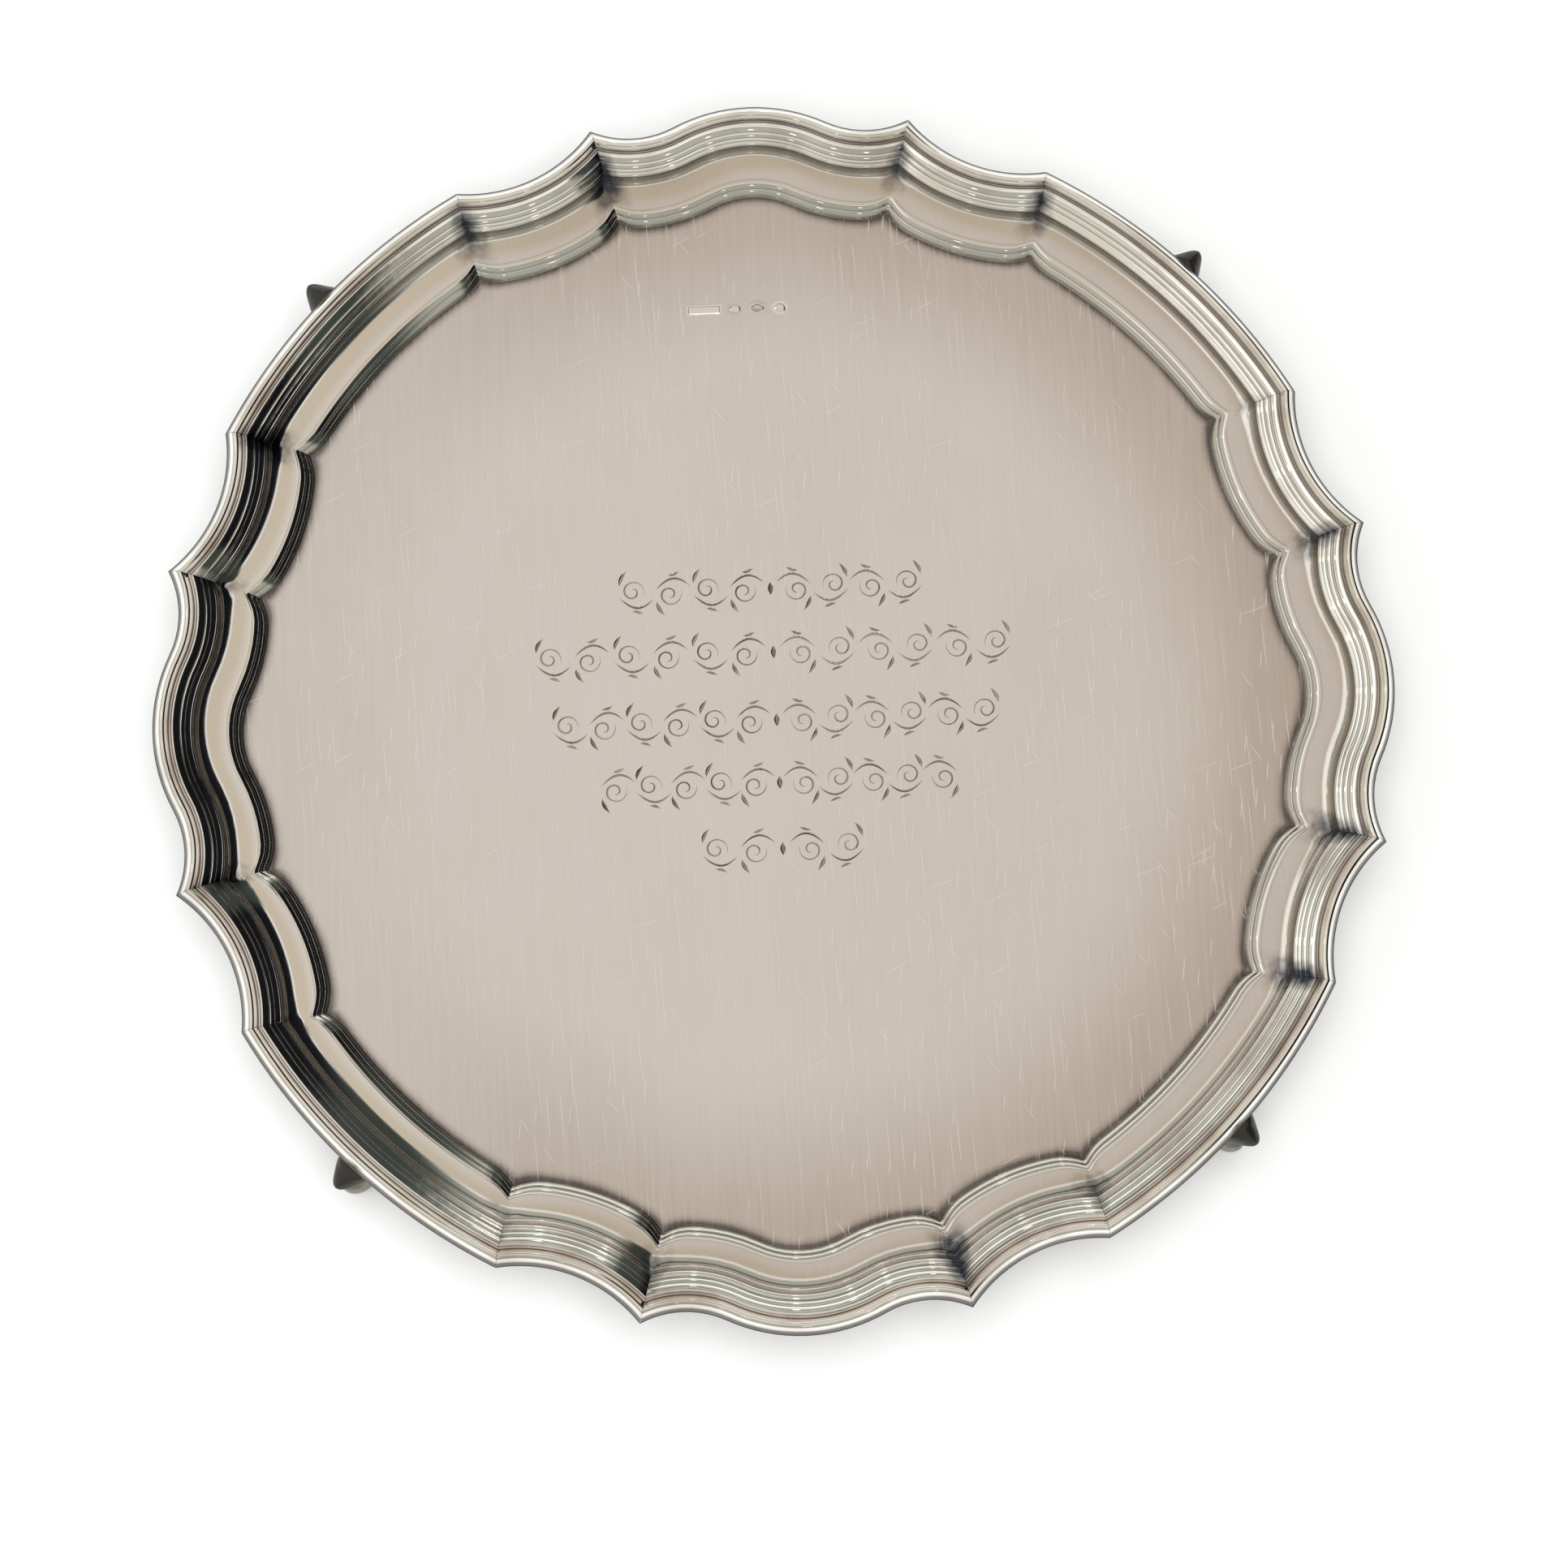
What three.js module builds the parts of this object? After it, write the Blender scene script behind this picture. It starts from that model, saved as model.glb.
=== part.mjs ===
// A silver salver: a dished sheet with a shaped border, a mitred moulding and four cast feet.
// Millimetres, +Z up. The origin is under the middle of the dish, on the plane that the feet stand on.
import * as THREE from "three";

// Border outline, seen from above. It is the same in all four quarters and mirrored in each of them.
const DIAMETER = 305; // across opposite cusps
const OGEE_SET_BACK = 0.55; // crown of an ogee point, inside the circle through the cusps
const OGEE_CROWN_RADIUS = 42.6; // swelling middle of an ogee point
const OGEE_FLANK_RADIUS = 23.6; // hollow on either side of it
const ARC_SET_BACK = 1.05; // long arc, inside the circle through the cusps
const SCALLOP_RADIUS = 37; // hollow between an ogee point and a long arc
const CUSP_ANGLE = THREE.MathUtils.degToRad(15.14); // from an ogee crown to its cusp
const CORNER_ANGLE = THREE.MathUtils.degToRad(29.07); // from an ogee crown to the end of a long arc

// Dish, in section.
const FLAT_HEIGHT = 22.8; // top of the flat centre above the ground
const SHEET = 0.9; // thickness of the raised sheet
const STEP_RISE = 4.6; // rounded step up from the flat
const STEP_WIDTH = 3.6;
const STEP_FILLET = 0.3; // small square edge along the top of the step
const BAND_WIDTH = 7.0; // shallow hollow band between the step and the moulding
const BAND_RISE = 3.0;
const BAND_HOLLOW = 0.75; // how far the band dips below a straight slope

// Moulding, in section.
const MOULDING_WIDTH = 9.8;
const LIP_WIDTH = 0.6; // outer lip that hides the edge of the sheet
const LIP_DROP = 0.9; // how far the lip hangs below the top of the sheet
const LIP_RISE = 0.5; // upright face of the lip above the top of the sheet
const CREST_HEIGHT = 4.2; // top of the moulding above the sheet
const CREST_FROM_EDGE = 2.8;
const CREST_WIDTH = 0.6;
const GROOVE_WIDTH = 1.8; // hollow inside the crest
const GROOVE_DEPTH = 1.4;
const INNER_RISE = 0.5; // upright inner edge of the moulding
const REEDS = 3; // they come down from the groove to the inner edge
const REED_FLAT = 0.8; // share of a reed's pitch that is its top
const REED_SLOPE = 0.35; // share of a reed's fall that its top takes up

// Feet.
const FOOT_BACK = 10; // how far the top of a foot reaches in under the border
const KNEE_REACH = 6.4; // how far a knee stands out past the border
const KNEE_DROP = 4.7; // nose of the knee below the top of the foot
const KNEE_FALL = 2.0; // fall of the ridge between the border and the nose
const KNEE_WIDTH = 9.6;
const SHIN_HEIGHT = 10.5; // narrowest place of the leg
const SHIN_WIDTH = 5.2;
const SHIN_THICKNESS = 5.0;
const TOE_REACH = 7.0;
const PAD_WIDTH = 8.6;
const PAD_LENGTH = 11.5;
const PAD_HEIGHT = 3.4;
const LEG_CURVE = 8; // pull of the long curves above the shin
const TAPER = 0.85; // share of its width that a foot loses towards its nose and its toe
const RIDGE = 0.25; // share of its depth that a foot loses from the ridge to its sides
const FACE_RIDGE = 0.1; // the same for its flat top and bottom

const CLEARANCE = 0.3; // solder gap between pieces

// Where the pieces meet.
const CUSP_REACH = DIAMETER / 2;
const ARC_REACH = CUSP_REACH - ARC_SET_BACK;
const BORDER_WIDTH = MOULDING_WIDTH + CLEARANCE;
const STEP_TOP_HEIGHT = FLAT_HEIGHT + STEP_RISE;
const SEAT_HEIGHT = STEP_TOP_HEIGHT + STEP_FILLET + BAND_RISE; // top of the sheet under the moulding
const FOOT_TOP = SEAT_HEIGHT - SHEET - CLEARANCE;

// Steps along each stretch of the border.
const OGEE_STEPS = 12;
const SCALLOP_STEPS = 6;
const ARC_STEPS = 10;
const STEP_POINTS = 4; // round the step of the dish
const BAND_POINTS = 4; // across the band
const FLANK_POINTS = 3; // up the outer flank of the moulding

const SILVER = { color: 0xd9d4ca, metalness: 1 };

// --- outline ---

function polar(radius, angle) {
  return new THREE.Vector2(radius * Math.cos(angle), radius * Math.sin(angle));
}

// Where two circles cross. The one nearer to `near` is returned.
function crossing(centreA, radiusA, centreB, radiusB, near) {
  const gap = centreB.clone().sub(centreA);
  const distance = gap.length();
  const along = (distance ** 2 + radiusA ** 2 - radiusB ** 2) / (2 * distance);
  const across = Math.sqrt(radiusA ** 2 - along ** 2);
  const direction = gap.divideScalar(distance);
  const middle = centreA.clone().addScaledVector(direction, along);
  const side = new THREE.Vector2(-direction.y, direction.x).multiplyScalar(across);
  const crossings = [middle.clone().add(side), middle.clone().sub(side)];
  return crossings.sort((p, q) => p.distanceTo(near) - q.distanceTo(near))[0];
}

const CENTRE = new THREE.Vector2(0, 0);
const CUSP = polar(CUSP_REACH, CUSP_ANGLE);
const CORNER = polar(ARC_REACH, CORNER_ANGLE);
const FAR_OUT = polar(2 * CUSP_REACH, (CUSP_ANGLE + CORNER_ANGLE) / 2);
const CROWN_CENTRE = new THREE.Vector2(CUSP_REACH - OGEE_SET_BACK - OGEE_CROWN_RADIUS, 0);
const FLANK_CENTRE = crossing(
  CROWN_CENTRE,
  OGEE_CROWN_RADIUS + OGEE_FLANK_RADIUS,
  CUSP,
  OGEE_FLANK_RADIUS,
  polar(2 * CUSP_REACH, 0),
);
const SCALLOP_CENTRE = crossing(CUSP, SCALLOP_RADIUS, CORNER, SCALLOP_RADIUS, FAR_OUT);

// Mitre between an ogee point and a scallop, `inset` mm inside the outer edge.
function cuspAt(inset) {
  const flank = OGEE_FLANK_RADIUS + inset;
  return crossing(FLANK_CENTRE, flank, SCALLOP_CENTRE, SCALLOP_RADIUS + inset, CUSP);
}

// Mitre between a scallop and a long arc.
function cornerAt(inset) {
  return crossing(SCALLOP_CENTRE, SCALLOP_RADIUS + inset, CENTRE, ARC_REACH - inset, CORNER);
}

// A point a fraction `t` of the way round a circle's arc from `start` to `end`, the short way.
function pointOnArc(centre, start, end, t) {
  const from = start.clone().sub(centre);
  const to = end.clone().sub(centre);
  const turn = Math.atan2(from.cross(to), from.dot(to));
  return from.rotateAround(CENTRE, turn * t).add(centre);
}

function mirrored(point) {
  return new THREE.Vector2(point.x, -point.y);
}

// Each stretch gives the point a fraction `t` along it, anticlockwise, `inset` mm inside the edge.
function onUpperOgee(inset, t) {
  const crown = new THREE.Vector2(CROWN_CENTRE.x + OGEE_CROWN_RADIUS - inset, 0);
  const toFlank = FLANK_CENTRE.clone().sub(CROWN_CENTRE).normalize();
  const turn = CROWN_CENTRE.clone().addScaledVector(toFlank, OGEE_CROWN_RADIUS - inset);
  if (t < 0.5) return pointOnArc(CROWN_CENTRE, crown, turn, 2 * t);
  return pointOnArc(FLANK_CENTRE, turn, cuspAt(inset), 2 * t - 1);
}

function onOgee(inset, t) {
  return t < 0.5 ? mirrored(onUpperOgee(inset, 1 - 2 * t)) : onUpperOgee(inset, 2 * t - 1);
}

function onScallop(inset, t) {
  return pointOnArc(SCALLOP_CENTRE, cuspAt(inset), cornerAt(inset), t);
}

function onFarScallop(inset, t) {
  const point = onScallop(inset, 1 - t);
  return new THREE.Vector2(point.y, point.x);
}

function onArc(inset, t) {
  const start = cornerAt(inset);
  return pointOnArc(CENTRE, start, new THREE.Vector2(start.y, start.x), t);
}

const QUARTER = [
  { name: "ogee_moulding", at: onOgee, steps: OGEE_STEPS },
  { name: "scallop_moulding", at: onScallop, steps: SCALLOP_STEPS },
  { name: "arc_moulding", at: onArc, steps: ARC_STEPS },
  { name: "scallop_moulding", at: onFarScallop, steps: SCALLOP_STEPS },
];

// --- sections, as points of (inset, height) ---

function section(inset, height) {
  return new THREE.Vector2(inset, height);
}

// Upper face of the dish, from the foot of its step out to the edge of the sheet.
function dishFace() {
  const bandStart = BORDER_WIDTH + BAND_WIDTH;
  const stepTop = bandStart + STEP_FILLET;
  const face = [];
  for (let i = 0; i <= STEP_POINTS; i++) {
    const turn = (Math.PI / 2) * (1 - i / STEP_POINTS);
    const inset = stepTop + STEP_WIDTH * Math.sin(turn);
    face.push(section(inset, FLAT_HEIGHT + STEP_RISE * Math.cos(turn)));
  }
  for (let i = 0; i <= BAND_POINTS; i++) {
    const t = i / BAND_POINTS;
    const slope = STEP_TOP_HEIGHT + STEP_FILLET + BAND_RISE * t;
    face.push(section(bandStart - BAND_WIDTH * t, slope - 4 * BAND_HOLLOW * t * (1 - t)));
  }
  face.push(section(LIP_WIDTH + CLEARANCE, SEAT_HEIGHT));
  return face;
}

// The same face moved one sheet's thickness down, square to itself.
function underFace(face) {
  return face.map((point, i) => {
    const before = face[Math.max(i - 1, 0)];
    const after = face[Math.min(i + 1, face.length - 1)];
    const along = after.clone().sub(before).normalize();
    const level = i === 0 || i === face.length - 1;
    const down = level ? section(0, -1) : section(-along.y, along.x);
    return point.clone().addScaledVector(down, SHEET);
  });
}

// Crest, groove and reeds of the moulding, from the outer lip to the inner edge.
function mouldingFace() {
  const crestTop = SEAT_HEIGHT + CREST_HEIGHT;
  const lipTop = SEAT_HEIGHT + LIP_RISE;
  const face = [section(0, SEAT_HEIGHT - LIP_DROP), section(0, lipTop)];
  for (let i = 1; i <= FLANK_POINTS; i++) {
    const turn = ((Math.PI / 2) * i) / FLANK_POINTS;
    const rise = (crestTop - lipTop) * Math.sin(turn);
    face.push(section(CREST_FROM_EDGE * (1 - Math.cos(turn)), lipTop + rise));
  }
  const grooveStart = CREST_FROM_EDGE + CREST_WIDTH;
  const reedStart = grooveStart + GROOVE_WIDTH;
  const reedTop = crestTop - GROOVE_DEPTH / 2;
  face.push(section(grooveStart, crestTop));
  face.push(section(grooveStart + GROOVE_WIDTH / 2, crestTop - GROOVE_DEPTH));
  const pitch = (MOULDING_WIDTH - reedStart) / REEDS;
  const fall = (reedTop - SEAT_HEIGHT - INNER_RISE) / REEDS;
  for (let reed = 0; reed < REEDS; reed++) {
    const end = reedTop - fall * (reed + REED_SLOPE);
    face.push(section(reedStart + pitch * reed, reedTop - fall * reed));
    face.push(section(reedStart + pitch * (reed + REED_FLAT), end));
  }
  face.push(section(MOULDING_WIDTH, SEAT_HEIGHT + INNER_RISE));
  return face;
}

// --- pieces ---

function silverMesh(name, geometry, roughness) {
  geometry.computeVertexNormals();
  const mesh = new THREE.Mesh(geometry, new THREE.MeshStandardMaterial({ ...SILVER, roughness }));
  mesh.name = name;
  return mesh;
}

// Turned as if it were round, then each turn's points are moved out to the shaped border.
function trayMesh() {
  const face = dishFace();
  const under = underFace(face);
  const axis = { top: section(0, FLAT_HEIGHT), under: section(0, FLAT_HEIGHT - SHEET) };
  const profile = [axis.under, ...under, ...face.slice().reverse(), axis.top];
  const stations = [];
  for (let quarter = 0; quarter < 4; quarter++) {
    for (const stretch of QUARTER) {
      for (let step = 0; step < stretch.steps; step++) {
        stations.push({ at: stretch.at, t: step / stretch.steps, turn: (quarter * Math.PI) / 2 });
      }
    }
  }
  const geometry = new THREE.LatheGeometry(profile, stations.length);
  geometry.rotateX(Math.PI / 2);
  const position = geometry.getAttribute("position");
  for (let i = 0; i < position.count; i++) {
    const point = profile[i % profile.length];
    const station = stations[Math.floor(i / profile.length) % stations.length];
    const onAxis = point === axis.top || point === axis.under;
    const place = onAxis ? CENTRE.clone() : station.at(point.x, station.t);
    place.rotateAround(CENTRE, station.turn);
    position.setXYZ(i, place.x, place.y, point.y);
  }
  return silverMesh("tray", geometry, 0.32);
}

// One length of moulding: its section drawn out straight, then bent along its stretch of border.
function mouldingMesh(stretch, name, quarter) {
  const inner = section(MOULDING_WIDTH, SEAT_HEIGHT + CLEARANCE);
  const rebate = section(LIP_WIDTH, SEAT_HEIGHT + CLEARANCE);
  const lip = section(LIP_WIDTH, SEAT_HEIGHT - LIP_DROP);
  const outline = new THREE.Shape([...mouldingFace(), inner, rebate, lip]);
  const geometry = new THREE.ExtrudeGeometry(outline, {
    depth: 1,
    steps: stretch.steps,
    bevelEnabled: false,
  });
  const length = stretch.at(0, 0).distanceTo(stretch.at(0, 1));
  const mitreGap = CLEARANCE / 2 / length;
  const position = geometry.getAttribute("position");
  for (let i = 0; i < position.count; i++) {
    const t = THREE.MathUtils.lerp(mitreGap, 1 - mitreGap, position.getZ(i));
    const place = stretch.at(position.getX(i), t);
    position.setXYZ(i, place.x, place.y, position.getY(i));
  }
  const mesh = silverMesh(name, geometry, 0.18);
  mesh.rotation.z = (quarter * Math.PI) / 2;
  return mesh;
}

// A foot from the side: distance out from the border's edge, and height.
function footOutline() {
  const noseHeight = FOOT_TOP - KNEE_DROP;
  const shinBack = -SHIN_THICKNESS;
  const padBack = TOE_REACH - PAD_LENGTH;
  const toeRadius = PAD_HEIGHT / 2;
  const toeCentre = TOE_REACH - toeRadius;
  const ridgeEnd = section(KNEE_REACH - KNEE_FALL, FOOT_TOP - KNEE_FALL);
  const pull = SHIN_HEIGHT + LEG_CURVE;
  const outline = new THREE.Shape();
  outline.moveTo(-FOOT_BACK, FOOT_TOP);
  outline.bezierCurveTo(-FOOT_BACK, FOOT_TOP - LEG_CURVE, shinBack, pull, shinBack, SHIN_HEIGHT);
  outline.quadraticCurveTo(shinBack, PAD_HEIGHT, padBack, toeRadius);
  outline.lineTo(padBack, 0);
  outline.lineTo(toeCentre, 0);
  outline.absarc(toeCentre, toeRadius, toeRadius, -Math.PI / 2, Math.PI / 2);
  outline.quadraticCurveTo(0, PAD_HEIGHT, 0, SHIN_HEIGHT);
  outline.bezierCurveTo(0, pull, KNEE_REACH, pull, KNEE_REACH, noseHeight);
  outline.quadraticCurveTo(KNEE_REACH, ridgeEnd.y, ridgeEnd.x, ridgeEnd.y);
  outline.lineTo(0, FOOT_TOP);
  return outline;
}

// Half the foot's width at a height and a distance past the border.
function footHalfWidth(out, height) {
  const { clamp, lerp, smoothstep } = THREE.MathUtils;
  const leg = lerp(PAD_WIDTH, SHIN_WIDTH, smoothstep(height, PAD_HEIGHT, SHIN_HEIGHT));
  const width = lerp(leg, KNEE_WIDTH, smoothstep(height, SHIN_HEIGHT, FOOT_TOP - KNEE_DROP));
  const reach = height > SHIN_HEIGHT ? KNEE_REACH : TOE_REACH;
  return (width / 2) * (1 - TAPER * clamp(out / reach, 0, 1) ** 2);
}

// The side view drawn out across the foot, with its faces falling away from a ridge down the middle.
function footMesh(name, quarter) {
  const geometry = new THREE.ExtrudeGeometry(footOutline(), {
    depth: 2,
    steps: 4,
    bevelEnabled: false,
    curveSegments: 5,
  });
  const position = geometry.getAttribute("position");
  for (let i = 0; i < position.count; i++) {
    const across = position.getZ(i) - 1;
    const out = position.getX(i);
    const height = position.getY(i);
    const middle = THREE.MathUtils.lerp(-SHIN_THICKNESS / 2, -FOOT_BACK / 2, height / FOOT_TOP);
    const onFace = height < CLEARANCE || height > FOOT_TOP - CLEARANCE;
    const kept = 1 - (onFace ? FACE_RIDGE : RIDGE) * Math.abs(across);
    const side = -across * footHalfWidth(out, height);
    position.setXYZ(i, ARC_REACH + middle + (out - middle) * kept, side, height);
  }
  const mesh = silverMesh(name, geometry, 0.3);
  mesh.rotation.z = ((quarter + 0.5) * Math.PI) / 2;
  return mesh;
}

function salver() {
  const group = new THREE.Group();
  group.name = "salver";
  group.add(trayMesh());
  const made = {};
  for (let quarter = 0; quarter < 4; quarter++) {
    for (const stretch of QUARTER) {
      made[stretch.name] = (made[stretch.name] ?? 0) + 1;
      group.add(mouldingMesh(stretch, `${stretch.name}_${made[stretch.name]}`, quarter));
    }
    group.add(footMesh(`foot_${quarter + 1}`, quarter));
  }
  return group;
}

export default salver();
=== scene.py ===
"""A silver salver on four cast feet: the visual model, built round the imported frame.

Metres, +Z up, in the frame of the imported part. A place seen from above is a complex number, x + iy.
Sections are drawn in millimetres, as (inset from the border's outer edge, height).
"""

from __future__ import annotations

import cmath
import logging
import math
from dataclasses import dataclass
from enum import Enum
from functools import lru_cache
from typing import Callable, Sequence

import bmesh
import bpy
from mathutils import Matrix, Vector


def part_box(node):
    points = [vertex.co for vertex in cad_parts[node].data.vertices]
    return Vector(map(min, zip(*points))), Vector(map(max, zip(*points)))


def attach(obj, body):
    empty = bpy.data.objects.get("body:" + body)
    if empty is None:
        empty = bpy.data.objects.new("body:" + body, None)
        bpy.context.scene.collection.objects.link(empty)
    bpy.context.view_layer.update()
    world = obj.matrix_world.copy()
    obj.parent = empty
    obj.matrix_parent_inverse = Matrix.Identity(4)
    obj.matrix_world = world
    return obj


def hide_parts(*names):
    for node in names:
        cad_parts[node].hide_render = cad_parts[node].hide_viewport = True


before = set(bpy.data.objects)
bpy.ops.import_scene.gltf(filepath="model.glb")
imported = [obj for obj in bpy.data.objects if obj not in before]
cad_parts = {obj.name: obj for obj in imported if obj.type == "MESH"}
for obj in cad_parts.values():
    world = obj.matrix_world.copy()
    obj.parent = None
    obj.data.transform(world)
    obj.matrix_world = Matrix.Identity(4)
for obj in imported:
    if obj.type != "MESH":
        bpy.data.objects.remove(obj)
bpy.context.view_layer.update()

MM = 0.001
QUARTERS = 4
SPIN_RADIUS = 1.0  # the border is spun at this radius, then bent to its outline
BODY = "root"

MAPPING = "ShaderNodeMapping"
VORONOI = "ShaderNodeTexVoronoi"
NOISE = "ShaderNodeTexNoise"
VECTOR = "ShaderNodeVectorMath"
SPLIT = "ShaderNodeSeparateXYZ"
MATHS = "ShaderNodeMath"
RANGE = "ShaderNodeMapRange"
MIX = "ShaderNodeMix"
ATTRIBUTE = "ShaderNodeAttribute"

log = logging.getLogger("salver")

Tree = bpy.types.NodeTree
Socket = bpy.types.NodeSocket
Surface = tuple[Socket, Socket, Socket]  # colour, roughness and height
Section = list[tuple[float, float, float]]  # inset and height in millimetres, and grime with painted shade


# ---------------------------------------------------------------- small helpers


def linear(hex_colour: str) -> tuple[float, float, float, float]:
    """Turns an sRGB hex colour into the linear colour that a shader takes.

    Args:
        hex_colour: six hex digits, such as "d9d4ca".

    Returns:
        Linear red, green and blue, with an alpha of one.
    """
    values = [int(hex_colour[i : i + 2], 16) / 255 for i in (0, 2, 4)]
    return (*(v / 12.92 if v <= 0.04045 else ((v + 0.055) / 1.055) ** 2.4 for v in values), 1.0)


def add_node(tree: Tree, kind: str, inputs: dict | None = None, **settings: object) -> bpy.types.Node:
    """Adds a shader node, with its settings and its inputs.

    Args:
        tree: the node tree that it goes in.
        kind: Blender's name for the node.
        inputs: a value or another node's socket for each input, by name or number.
        **settings: the node's own properties.

    Returns:
        The new node.
    """
    made = tree.nodes.new(kind)
    for name, value in settings.items():
        setattr(made, name, value)
    for name, value in (inputs or {}).items():
        if isinstance(value, Socket):
            tree.links.new(value, made.inputs[name])
        else:
            made.inputs[name].default_value = value
    return made


def circle_crossing(
    centre_a: complex, radius_a: float, centre_b: complex, radius_b: float, near: complex
) -> complex:
    """Finds where two circles cross.

    Args:
        centre_a: middle of the first circle.
        radius_a: its radius.
        centre_b: middle of the second circle.
        radius_b: its radius.
        near: a place close to the crossing that is wanted.

    Returns:
        The crossing nearer to that place.
    """
    gap = centre_b - centre_a
    distance = abs(gap)
    along = (distance**2 + radius_a**2 - radius_b**2) / (2 * distance)
    across = math.sqrt(max(radius_a**2 - along**2, 0.0))
    direction = gap / distance
    middle = centre_a + direction * along
    return min((middle + 1j * side * direction for side in (across, -across)), key=lambda p: abs(p - near))


def on_arc(centre: complex, start: complex, end: complex, t: float) -> complex:
    """Gives the point a fraction t of the way round an arc, the short way.

    Args:
        centre: middle of the arc's circle.
        start: where it starts.
        end: where it ends.
        t: fraction of the way, from 0 to 1.

    Returns:
        The point on the arc.
    """
    turn = cmath.phase((end - centre) / (start - centre))
    return centre + (start - centre) * cmath.exp(1j * turn * t)


def new_piece(name: str, bm: bmesh.types.BMesh, sharp_angle: float) -> bpy.types.Object:
    """Makes a finished object from a bmesh, shaded smooth except at its sharp edges.

    Args:
        name: the piece's name.
        bm: its shape, which is freed.
        sharp_angle: edges that turn by more than this are drawn sharp, in degrees.

    Returns:
        The object, at the origin.
    """
    mesh = bpy.data.meshes.new(name)
    bm.to_mesh(mesh)
    bm.free()
    mesh.polygons.foreach_set("use_smooth", [True] * len(mesh.polygons))
    mesh.set_sharp_from_angle(angle=math.radians(sharp_angle))
    made = bpy.data.objects.new(name, mesh)
    bpy.context.scene.collection.objects.link(made)
    return made


# ---------------------------------------------------------------- outline


class Stretch(Enum):
    """The four stretches that make one quarter of the border, anticlockwise."""

    OGEE = "ogee_moulding"
    SCALLOP = "scallop_moulding"
    ARC = "arc_moulding"
    FAR_SCALLOP = "scallop_moulding_far"


@dataclass(frozen=True)
class Border:
    """Outline of the salver from above: every stretch is one or two arcs, offset inwards by an inset."""

    cusp_reach: float = 152.5 * MM
    ogee_set_back: float = 0.55 * MM
    crown_radius: float = 42.6 * MM
    flank_radius: float = 23.6 * MM
    arc_set_back: float = 1.05 * MM
    scallop_radius: float = 37 * MM
    cusp_angle: float = math.radians(15.14)
    corner_angle: float = math.radians(29.07)

    @property
    def arc_reach(self) -> float:
        """Radius of the long arcs."""
        return self.cusp_reach - self.arc_set_back

    @property
    def crown_centre(self) -> complex:
        """Middle of the circle round an ogee point's crown."""
        return complex(self.cusp_reach - self.ogee_set_back - self.crown_radius)

    @property
    def cusp(self) -> complex:
        """Tip between an ogee point and a scallop."""
        return cmath.rect(self.cusp_reach, self.cusp_angle)

    @property
    def corner(self) -> complex:
        """Tip between a scallop and a long arc."""
        return cmath.rect(self.arc_reach, self.corner_angle)

    @property
    @lru_cache(maxsize=None)
    def flank_centre(self) -> complex:
        """Middle of the hollow beside an ogee point's crown."""
        apart = self.crown_radius + self.flank_radius
        outside = complex(2 * self.cusp_reach)
        return circle_crossing(self.crown_centre, apart, self.cusp, self.flank_radius, outside)

    @property
    @lru_cache(maxsize=None)
    def scallop_centre(self) -> complex:
        """Middle of a scallop's circle, outside the salver."""
        radius = self.scallop_radius
        outside = cmath.rect(2 * self.cusp_reach, (self.cusp_angle + self.corner_angle) / 2)
        return circle_crossing(self.cusp, radius, self.corner, radius, outside)

    @lru_cache(maxsize=None)
    def cusp_at(self, inset: float) -> complex:
        """Gives the mitre between an ogee point and a scallop at an inset."""
        flank, scallop = self.flank_radius + inset, self.scallop_radius + inset
        return circle_crossing(self.flank_centre, flank, self.scallop_centre, scallop, self.cusp)

    @lru_cache(maxsize=None)
    def corner_at(self, inset: float) -> complex:
        """Gives the mitre between a scallop and a long arc at an inset."""
        scallop = self.scallop_radius + inset
        return circle_crossing(self.scallop_centre, scallop, 0j, self.arc_reach - inset, self.corner)

    def on_upper_ogee(self, inset: float, t: float) -> complex:
        """Gives a point between an ogee point's crown and its upper cusp.

        Args:
            inset: how far inside the outer edge it is.
            t: fraction of the way, 0 at the crown and 1 at the cusp.

        Returns:
            Its place from above.
        """
        crown_radius = self.crown_radius - inset
        crown = self.crown_centre + crown_radius
        to_flank = self.flank_centre - self.crown_centre
        turn = self.crown_centre + to_flank / abs(to_flank) * crown_radius
        if t < 0.5:
            return on_arc(self.crown_centre, crown, turn, 2 * t)
        return on_arc(self.flank_centre, turn, self.cusp_at(inset), 2 * t - 1)

    def place(self, stretch: Stretch, inset: float, t: float, quarter: int = 0) -> complex:
        """Gives a point of the border.

        Args:
            stretch: which stretch of the quarter it is on.
            inset: how far inside the outer edge it is.
            t: fraction of the way along the stretch, anticlockwise.
            quarter: which quarter, counted anticlockwise from +X.

        Returns:
            Its place from above.
        """
        if stretch is Stretch.OGEE:
            half = self.on_upper_ogee(inset, abs(2 * t - 1))
            point = half.conjugate() if t < 0.5 else half
        elif stretch is Stretch.SCALLOP:
            point = on_arc(self.scallop_centre, self.cusp_at(inset), self.corner_at(inset), t)
        elif stretch is Stretch.FAR_SCALLOP:
            near = on_arc(self.scallop_centre, self.cusp_at(inset), self.corner_at(inset), 1 - t)
            point = complex(near.imag, near.real)
        else:
            start = self.corner_at(inset)
            point = on_arc(0j, start, complex(start.imag, start.real), t)
        return point * 1j**quarter

    def rounded(self, index: int, inset: float, t: float, reach: float) -> complex:
        """Gives a point of the border with its tips rounded off, as sheet is where it is raised.

        Args:
            index: which of the sixteen stretches it is on, anticlockwise from +X.
            inset: how far inside the outer edge it is.
            t: fraction of the way along the stretch.
            reach: how far from a tip the rounding starts.

        Returns:
            Its place from above.
        """
        stretches = list(Stretch)

        def at(which: int, fraction: float) -> complex:
            """Gives a point of one of the sixteen stretches."""
            quarter, kind = divmod(which % (QUARTERS * len(stretches)), len(stretches))
            return self.place(stretches[kind], inset, fraction, quarter)

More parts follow.
